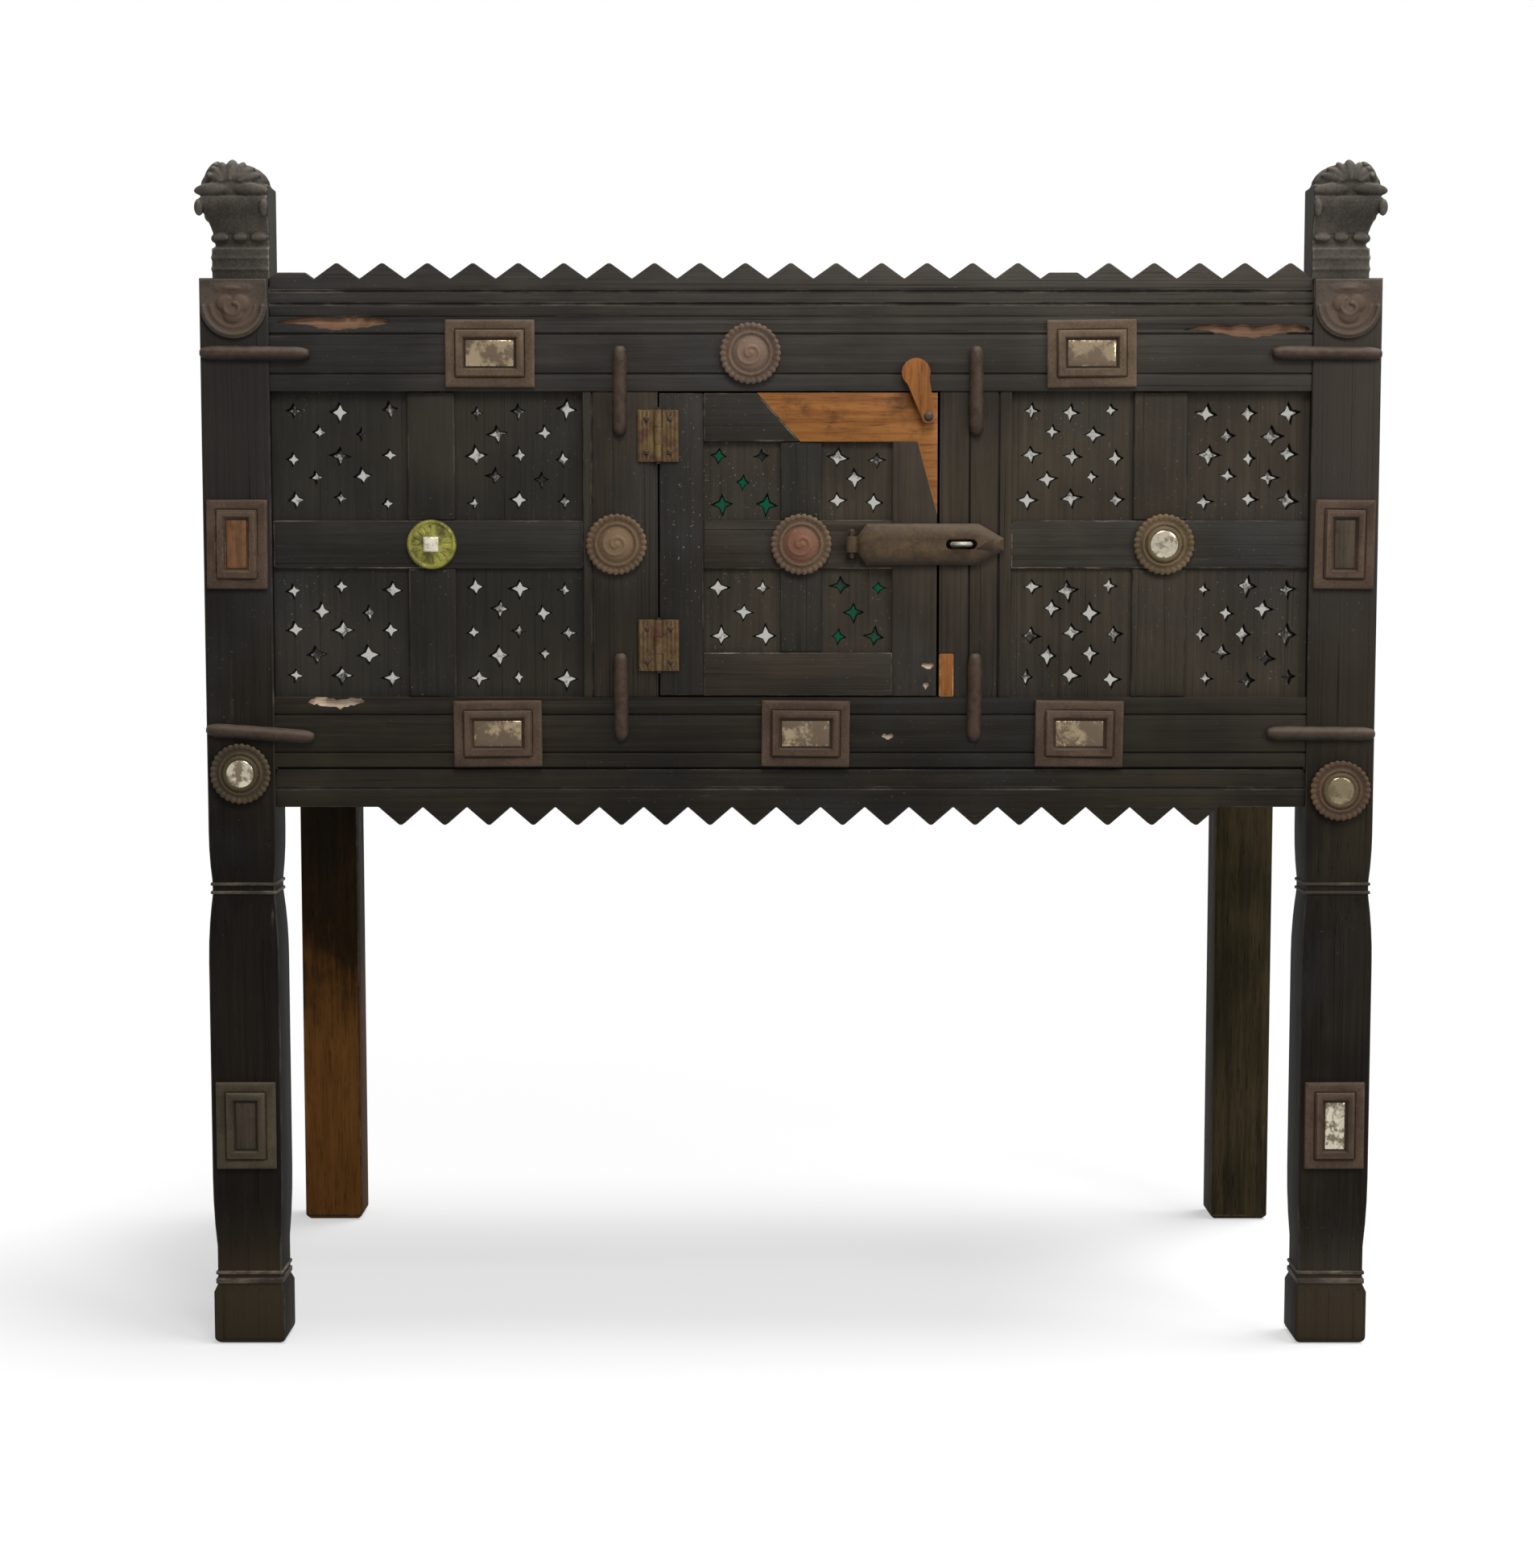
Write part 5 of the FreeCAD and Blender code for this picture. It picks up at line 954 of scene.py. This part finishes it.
def girth(piece, level):
    """The box of a piece's section at a level."""
    section = bmesh.new()
    section.from_mesh(piece.data)
    cut = bmesh.ops.bisect_plane(
        section, geom=section.verts[:] + section.edges[:] + section.faces[:], plane_co=(0, 0, level),
        plane_no=(0, 0, 1),
    )
    points = [item.co.copy() for item in cut["geom_cut"] if isinstance(item, bmesh.types.BMVert)]
    section.free()
    low = Vector([min(point[axis] for point in points) for axis in range(3)])
    high = Vector([max(point[axis] for point in points) for axis in range(3)])
    return low, high


CORDS = (
    # height over the floor, half of the cord's own height
    (0.0650, 0.0030), (0.0735, 0.0019), (0.462, 0.0017), (0.4705, 0.0017),
)
CORD_PROUD = Vector((0.0008, 0.0008, 0))


def front_post(label, sign):
    """A post up to its shoulder, with cords round the neck and the ankle of its leg."""
    piece = whole(label)
    shape(piece, every_face, cut_off((0, 0, SHOULDER), (0, 0, 1)))
    soften(piece, WORN_EDGE, 3, edge_z)
    settle(piece, f"{label}_worn", label)
    cords = []
    for level, half in CORDS:
        low, high = girth(piece, level)
        low.z, high.z = level - half, level + half
        cord = block(low - CORD_PROUD, high + CORD_PROUD)
        shape(cord, side_face, inset(0.8, 0.7))
        cords.append(cord)
    cord = dressed(joined(cords), cord_paint)
    soften(cord, 0.0004, 1)
    settle(cord, f"{label}_cords", label, replaced=False)
    post_head(label, sign)


front_post("front_post_left", -1)
front_post("front_post_right", 1)


# Carved fittings


def curl(centre, first_radius, last_radius, turns, thickness, crown=0.0, start=0.0):
    """A curled ridge, wound inwards from its first radius and lying on a crowned face."""
    lumps, count = [], 52
    for index in range(count):
        share = index / (count - 1)
        radius = first_radius + (last_radius - first_radius) * share
        angle = start + math.tau * turns * share
        rise = crown * (1 - (radius / first_radius) ** 2)
        spot = (centre[0] + radius * math.cos(angle), centre[1] - rise, centre[2] + radius * math.sin(angle))
        lumps.append(ball(spot, (thickness, thickness, thickness)))
    return lumps


BEADS = 30


def rosette_pattern(hollow):
    """Beaded rim and flat band round a curled boss, or round the seat of a mirror."""
    parts = [drum(mm(0, -2.4, 0), *mm(28.6, 4.8))]
    for index in range(BEADS):
        angle = math.tau * index / BEADS
        spot = mm(27.4 * math.sin(angle), -4.4, 27.4 * math.cos(angle))
        parts.append(ball(spot, mm(3.1, 2.2, 3.1)))
    parts.append(ring(mm(0, -4.8, 0), *mm(20.5, 1.5)))
    if hollow:
        parts.append(ring(mm(0, -5.6, 0), *mm(15.4, 2.4)))
    else:
        parts.append(ball(mm(0, -4.4, 0), mm(17, 4.6, 17)))
        parts += curl(mm(0, -6.3, 0), 13.5 * MM, 3 * MM, 1.35, 1.8 * MM, 2.4 * MM, 2.2)
        parts.append(ball(mm(0.5, -8.2, 0), mm(3.6, 2.4, 3.6)))
    return carved(parts, 0.8 * MM, 2)


ROSETTES = {
    # tones of the hollows, the paint and the ridges, and the stain of the heart
    "leg_left": ((50, 42, 30), (80, 68, 50), (104, 89, 66), (64, 56, 28)),
    "jamb": ((66, 52, 38), (101, 81, 61), (130, 108, 82), (120, 99, 73)),
    "top": ((66, 54, 45), (100, 82, 68), (128, 107, 90), (124, 101, 86)),
    "bay": ((66, 55, 38), (100, 83, 60), (130, 110, 82), (84, 76, 44)),
    "leg_right": ((60, 45, 33), (92, 72, 55), (116, 93, 73), (76, 69, 42)),
    "door": ((68, 54, 41), (104, 84, 65), (132, 108, 86), (126, 80, 63)),
}


def rosettes():
    boss, hollow = rosette_pattern(False), rosette_pattern(True)
    seats = list(zip(("leg_left", "jamb", "top", "bay", "leg_right"), solids("frame_rosettes")))
    seats.append(("door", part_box("door_rosette")))
    for name, (low, high) in seats:
        middle = (low + high) / 2
        pattern = boss if name in ("jamb", "top", "door") else hollow
        piece = copy_of(pattern, (middle.x, high.y, middle.z), dice.uniform(0, 0.35))
        deep, light, ridge, heart = ROSETTES[name]
        look = carved_paint(f"rosette_paint_{name}", deep, light, ridge, 0.5, (middle, 0.022, heart))
        carrier = "door_rosette" if name == "door" else "frame_rosettes"
        settle(dressed(piece, look), f"rosette_{name}", carrier)
    discard(boss, hollow)


MIDDLES = {
    # from left to right
    "leg_left": bright_mirror, "disc_stud": stud_tin, "bay": bright_mirror, "leg_right": dull_mirror,
}


def rosette_middles():
    """Round mirrors in the hollow rosettes and the square stud of the brass disc."""
    for (name, look), (low, high) in zip(MIDDLES.items(), solids("rosette_centres")):
        middle = (low + high) / 2
        if name == "disc_stud":
            piece = block(low, high)
            shape(piece, front_face, inset(1.2, 0.9), inset(2.0, 0.5))
        else:
            piece = drum(middle, (high.x - low.x) / 2, high.y - low.y, 40)
            shape(piece, front_face, inset(1.5, 0.5), inset(5.0, 0.5))
        soften(dressed(piece, look), 0.0003, 1)
        settle(piece, f"{name}_middle", "rosette_centres")


def brass_disc():
    """A pressed disc: rolled rim, groove and a dished field with pressed rays."""
    low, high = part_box("brass_disc")
    middle = (low + high) / 2
    radius = (high.x - low.x) / 2
    piece = drum((middle.x, (low.y + high.y) / 2 + 1.2 * MM, middle.z), radius, high.y - low.y - 2.4 * MM)
    shape(
        piece, front_face,
        inset(1.2, 1.4), inset(1.6, 0.5), inset(1.4, -1.6), inset(1.0, 0.2), inset(7.5, 1.6),
    )

    def ray(face):
        """Every third face of the field."""
        centre = face.calc_center_median()
        x, z = centre.x - middle.x, centre.z - middle.z
        in_field = 0.5 * radius < math.hypot(x, z) < 0.78 * radius
        third = round(math.atan2(z, x) / math.tau * 48 - 0.5) % 3 == 0
        return front_face(face) and in_field and third

    pressed = {"thickness": 0.5 * MM, "depth": -0.9 * MM, "use_individual": True}
    shape(piece, ray, (bpy.ops.mesh.inset, pressed))
    soften(dressed(piece, disc_brass), 0.0003, 1)
    settle(piece, "brass_disc_pressed", "brass_disc")


SHIELD_LUMPS = (
    # across, proud and up from the eye, and radii: the band above, its ridge and the lobes of the leaf
    (0, 2.0, 16, (24, 3.4, 6)),
    (-1, 4.4, 16, (10, 2.4, 2.2)),
    (-7, 3.4, 1, (9.5, 4.2, 8.5)),
    (7, 3.4, 1, (9.5, 4.4, 9)),
    (0, 3.4, -9, (10.5, 4.4, 9.5)),
)
SHIELD_RIMS = (
    # radius of the rim, proud of the seat, and radii of what it is drawn with
    (29, 3.4, (2.2, 2.6, 2.2)),
    (22, 3.2, (1.7, 1.5, 1.7)),
)
SHIELD_TONES = ((51, 44, 38), (78, 69, 60), (104, 92, 80))
SHIELD_THICK = 3.4 * MM


def shields():
    """Tongues on the post shoulders: square above, round below, with two rims and a heart-shaped leaf."""
    for side, (low, high) in zip(("left", "right"), solids("post_shields")):
        x, seat, half = (low.x + high.x) / 2, high.y, (high.x - low.x) / 2
        eye, top = low.z + half, high.z - 1 * MM
        tongue = drum((x, seat - 1.7 * MM, eye), half, SHIELD_THICK)
        shape(tongue, every_face, cut_off((0, 0, top), (0, 0, 1)))
        parts = [tongue, block((x - half, seat - SHIELD_THICK, eye), (x + half, seat, top))]
        for across, proud, up, radii in SHIELD_LUMPS:
            parts.append(ball((x + across * MM, seat - proud * MM, eye + up * MM), mm(*radii)))
        leaf = (x + 1 * MM, seat - 6.2 * MM, eye - 3 * MM)
        parts += curl(leaf, 10 * MM, 4 * MM, 0.9, 1.9 * MM, 1.2 * MM, 2.0)
        for index in range(44):
            angle = math.radians(-4 - 172 * index / 43)
            for reach, proud, radii in SHIELD_RIMS:
                across, up = reach * MM * math.cos(angle), reach * MM * math.sin(angle)
                parts.append(ball((x + across, seat - proud * MM, eye + up), mm(*radii)))
        heart = (Vector((x, seat, eye - 6 * MM)), 0.032, (88, 69, 56))
        look = carved_paint(f"shield_{side}_paint", *SHIELD_TONES, 0.5, heart)
        settle(dressed(carved(parts, 0.9 * MM, 3), look), f"shield_{side}", "post_shields")


def plaque_pattern(width, height):
    """A framed plaque: chamfered edge, flat band, groove, raised frame and the seat of its mirror."""
    piece = block((-width / 2, -3.8 * MM, -height / 2), (width / 2, 0, height / 2))
    shape(
        piece, front_face,
        inset(2.4, 1.2), inset(6.4, 0.0), inset(1.0, -1.4), inset(1.2, 4.2),
        inset(2.6, 0.5), inset(3.4, -0.2), inset(1.8, -3.8),
    )
    soften(dressed(piece, plaque_wood), 0.0006, 2, plaque_edge)
    return piece


LEG_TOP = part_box("apron_board")[0].z


def plaques():
    for label in ("rail_plaques", "post_plaques"):
        for index, (low, high) in enumerate(solids(label)):
            middle = (low + high) / 2
            pattern = plaque_pattern(high.x - low.x, high.z - low.z)
            piece = copy_of(pattern, (middle.x, high.y, middle.z), dice.uniform(-0.012, 0.012))
            discard(pattern)
            if middle.x < 0 and middle.z < LEG_TOP:
                dressed(piece, dull_plaque, dull_plaque)
            if middle.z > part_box("front_top_rail")[0].z:
                dressed(piece, pale_plaque, plaque_edge)
            settle(piece, f"{label}_{index + 1}", label)


def plaque_mirrors():
    """Small mirrors in the plaques, each in its own state of wear, and plain wood where the glass is lost."""
    for index, (low, high) in enumerate(solids("plaque_mirrors")):
        middle = (low + high) / 2
        look = cloudy_mirror
        if abs(middle.x) > POST_INNER:
            on_left, on_leg = middle.x < 0, middle.z < LEG_TOP
            look = {
                (True, False): orange_panel, (False, False): brown_panel,
                (True, True): brown_panel, (False, True): bright_mirror,
            }[on_left, on_leg]
        piece = block(low, high)
        shape(piece, front_face, inset(1.0, 0.5), inset(6.0, 0.25))
        soften(dressed(piece, look), 0.0002, 1)
        settle(piece, f"plaque_mirror_{index + 1}", "plaque_mirrors")


rosettes()
rosette_middles()
brass_disc()
shields()
plaques()
plaque_mirrors()


# Ironwork

BLUNT_END = 0.4


def forged_rod(length, radius):
    """A hammered half-round bar with blunt ends, lying across."""
    piece = primitive(
        bpy.ops.mesh.primitive_circle_add, vertices=18, radius=radius * BLUNT_END, fill_type="NGON",
        location=(-length / 2, 0, 0), rotation=(0, math.pi / 2, 0),
    )
    spans = [0.02, 0.04, 0.05] + [0.078] * 10 + [0.05, 0.04, 0.02]
    hammered = [dice.uniform(0.93, 1.02) for _ in range(9)]
    swells = [0.68, 0.86, 0.96] + hammered + [0.96, 0.86, 0.68, BLUNT_END]
    steps, x, swell = [], -length / 2, BLUNT_END
    for span, new_swell in zip(spans, swells):
        x += span * length
        factor = new_swell / swell
        steps += [draw_out((span * length, 0, 0)), resize((1, factor, factor), (x, 0, 0))]
        swell = new_swell
    shape(piece, every_face, *steps, everything(), outwards(), cut_off((0, 0, 0), (0, 1, 0)))
    pick(piece)
    bpy.ops.object.shade_smooth_by_angle(angle=math.radians(50))
    return dressed(piece, iron)


SAG = 0.06


def cramps():
    """The four cramps across the corners and the four on the jambs; the one at the lower left has sagged."""
    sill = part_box("left_bay_cross_rail")[0].z
    for label in ("corner_cramps", "jamb_cramps"):
        for index, (low, high) in enumerate(solids(label)):
            middle = (low + high) / 2
            across, up = high.x - low.x, high.z - low.z
            radius = min(across, up) / 2
            pattern = forged_rod(max(across, up), radius)
            turn = (math.pi / 2 if up > across else 0) + dice.uniform(-0.02, 0.02)
            if label == "corner_cramps" and middle.x < 0 and middle.z < sill:
                turn += SAG
            piece = copy_of(pattern, (middle.x, low.y + radius, middle.z), turn)
            discard(pattern)
            settle(piece, f"{label}_{index + 1}", label)


def nail_pattern():
    """A forged nail head: a square pressed into a low hipped dome."""
    piece = block(mm(-3, -1.2, -3), mm(3, 0.6, 3))
    shape(piece, front_face, inset(0.8, 0.7), inset(1.2, 0.4))
    soften(piece, 0.0004, 1)
    return piece


def reed_pattern(height):
    """An upright reed with its front narrowed."""
    piece = block((-1.1 * MM, -0.9 * MM, -height / 2), (1.1 * MM, 0.5 * MM, height / 2))
    shape(piece, front_face, inset(0.55, 0.5))
    return piece


LEAF_THICK = 2.5 * MM
REEDS = (2.2, 6.2, 10.4)
SMALL_NAIL = (0.8, 0.8, 0.8)


def hinges():
    """Leaves with upright reeds, and the nails that hold them."""
    nail = nail_pattern()
    low, high = solids("hinge_jamb_leaves")[0]
    reed = reed_pattern(high.z - low.z - 2 * MM)
    for label, sign in (("hinge_jamb_leaves", -1), ("hinge_door_leaves", 1)):
        worn(label, hinge_edge, 0.0005, 1)
        parts, heads = [], []
        for low, high in solids(label):
            edge = low.x if sign < 0 else high.x
            face = high.y - LEAF_THICK
            for shift in REEDS:
                parts.append(copy_of(reed, (edge - sign * shift * MM, face, (low.z + high.z) / 2)))
            for level in (low.z + 9 * MM, high.z - 9 * MM):
                place = (edge - sign * 8.3 * MM, face - 0.8 * MM, level)
                heads.append(copy_of(nail, place, dice.uniform(0, 0.8), SMALL_NAIL))
        reeds = dressed(joined(parts), hinge_brass)
        soften(reeds, 0.0002, 1)
        settle(reeds, f"{label}_reeds", label, replaced=False)
        settle(dressed(joined(heads), iron), f"{label}_nails", label, replaced=False)
    discard(nail, reed)


# where the straight part of the hasp begins and ends, back from its tip
HASP_BODY = (136 * MM, 25 * MM)
HASP_ENDS = (
    # side, how far the end is drawn out, and what it keeps of its height: the neck and the tip
    (-1, 9 * MM, 16 / 41),
    (1, 25 * MM, 12 / 41),
)


def hasp_strap():
    """A forged strap with a swelling face: a neck and an eye at one end, a blunt point at the other."""
    low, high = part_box("hasp")
    eye = whole("hasp")
    tip = [corner.co.y for corner in eye.data.vertices if corner.co.x > high.x - 1 * MM]
    front, back = min(tip), max(tip)
    middle = (low.z + high.z) / 2
    left, right = high.x - HASP_BODY[0], high.x - HASP_BODY[1]
    strap = block((left, front, low.z), (right, back, high.z))
    for sign, reach, height in HASP_ENDS:
        shape(
            strap, end_face(sign),
            draw_out((sign * reach, 0, 0)), resize((1, 1, height), (0, 0, middle)),
        )
    shape(
        strap, front_face,
        inset(2.0, 2.0), inset(3.0, 1.7), inset(4.0, 1.2), inset(4.0, 0.6), inset(2.5, 0.1),
    )
    staple_low, staple_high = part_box("lock_staple")
    x = (staple_low.x + staple_high.x) / 2
    first = (x - 15.5 * MM, front - 0.02, middle - 5 * MM)
    second = (x + 15.5 * MM, back + 0.02, middle + 5 * MM)
    slot = block(first, second)
    soften(slot, 0.0048, 4)
    cut_away(strap, slot)
    shape(eye, every_face, cut_off((left - 3 * MM, 0, 0), (1, 0, 0)))
    apply_modifier(strap, "BOOLEAN", operation="UNION", object=eye, solver="EXACT")
    discard(eye)
    soften(dressed(strap, strap_iron), 0.0011, 3, iron_edge)
    settle(strap, "hasp_strap", "hasp")


cramps()
hinges()
hasp_strap()


# Boards of the top, floor, back and sides


SEAM = 1.2 * MM
UNEVEN = 0.9 * MM


def boards(label, axis, count):
    """Planks side by side along an axis, each a little thinner or thicker than the next."""
    low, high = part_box(label)
    face = min(range(3), key=lambda side: high[side] - low[side])
    planks = []
    for index in range(count):
        first, second = low.copy(), high.copy()
        step = (high[axis] - low[axis]) / count
        first[axis] = low[axis] + index * step + SEAM / 2
        second[axis] = first[axis] + step - SEAM
        first[face] += dice.uniform(0.0, UNEVEN)
        second[face] -= dice.uniform(0.0, UNEVEN)
        piece = dressed(block(first, second), look_of[label])
        soften(piece, 0.0018, 2, plain_edge)
        settle(piece, f"{label}_{index + 1}", label)
        planks.append((first, second))
    return planks


def top_nails(planks):
    """Two nails at each end of the top planks, driven into the side rails."""
    nail = nail_pattern()
    nail.data.transform(Matrix.Rotation(-math.pi / 2, 4, "X"))
    heads = []
    for low, high in planks:
        for x in (low.x + 14 * MM, high.x - 14 * MM):
            for share in (0.25, 0.75):
                y = low.y + (high.y - low.y) * share + dice.uniform(-6, 6) * MM
                heads.append(copy_of(nail, (x + dice.uniform(-3, 3) * MM, y, high.z)))
    discard(nail)
    settle(dressed(joined(heads), iron), "top_board_nails", "top_boards", replaced=False)


top_nails(boards("top_boards", 1, 4))
boards("floor_boards", 1, 4)
boards("back_boards", 0, 6)
boards("left_side_boards", 1, 3)
boards("right_side_boards", 1, 3)


# Stage, light and camera

FLOOR_LIFT = 0.50
SKY_LIGHT = 0.30


def white_room():
    """A white floor that keeps the shadow, and a white surround for the eye and for mirrors."""
    floor = primitive(bpy.ops.mesh.primitive_plane_add, size=24)
    floor.name = "floor"
    paper = Finish("paper", Roughness=0.9, Specular_IOR_Level=0.0)
    paper.colour(tone(168, 168, 168))
    surface = Wire(paper, paper.shader.outputs[0])
    lift = paper.node("ShaderNodeEmission", {}, {"Color": (1, 1, 1, 1), "Strength": FLOOR_LIFT})
    lifted = paper.node("ShaderNodeAddShader", {}, {0: surface, 1: lift})
    shown = paper.node("ShaderNodeMixShader", {}, {0: paper.seen_rays(), 1: surface, 2: lifted})
    paper.feed(paper.tree.nodes["Material Output"].inputs["Surface"], shown)
    floor.data.materials.append(paper.material)

    world = bpy.data.worlds.new("white_surround")
    bpy.context.scene.world = world
    world.use_nodes = True
    sky = Nodes(world.node_tree)
    backdrop = sky.tree.nodes["Background"]
    sky.feed(backdrop.inputs["Color"], (1, 1, 1, 1))
    sky.feed(backdrop.inputs["Strength"], sky.seen_rays() * (1 - SKY_LIGHT) + SKY_LIGHT)


def lamp(name, kind, place, target, power, **settings):
    """A lamp at its place, turned to what it lights."""
    light = bpy.data.lights.new(name, kind)
    light.energy = power
    for setting, value in settings.items():
        setattr(light, setting, value)
    holder = bpy.data.objects.new(name, light)
    bpy.context.scene.collection.objects.link(holder)
    holder.location = place
    holder.rotation_euler = (Vector(target) - Vector(place)).to_track_quat("-Z", "Y").to_euler()


PHOTO_HEIGHT = 1947
FOCAL_PIXELS = 3200
SENSOR = 36
EYE = (-0.024, -2.839, 0.779)
LOOKS_DOWN = 4.62

white_room()
lamp("key_light", "SUN", (1.2, 0.36, 4.0), (0, 0, 0.4), 3.2, angle=math.radians(32))
lamp("side_lamp", "AREA", (2.0, -2.0, 1.9), (0.2, -0.2, 0.8), 32, shape="DISK", size=1.4)
lamp("high_lamp", "AREA", (0.2, -2.0, 2.9), (0, -0.25, 0.8), 50, shape="DISK", size=1.0)
lens = bpy.data.cameras.new("camera")
lens.sensor_fit = "VERTICAL"
lens.sensor_height = SENSOR
lens.lens = FOCAL_PIXELS / PHOTO_HEIGHT * SENSOR
camera = bpy.data.objects.new("camera", lens)
bpy.context.scene.collection.objects.link(camera)
camera.location = EYE
camera.rotation_euler = (math.radians(90 - LOOKS_DOWN), 0, 0)
bpy.context.scene.camera = camera
bpy.context.scene.view_settings.view_transform = "Standard"
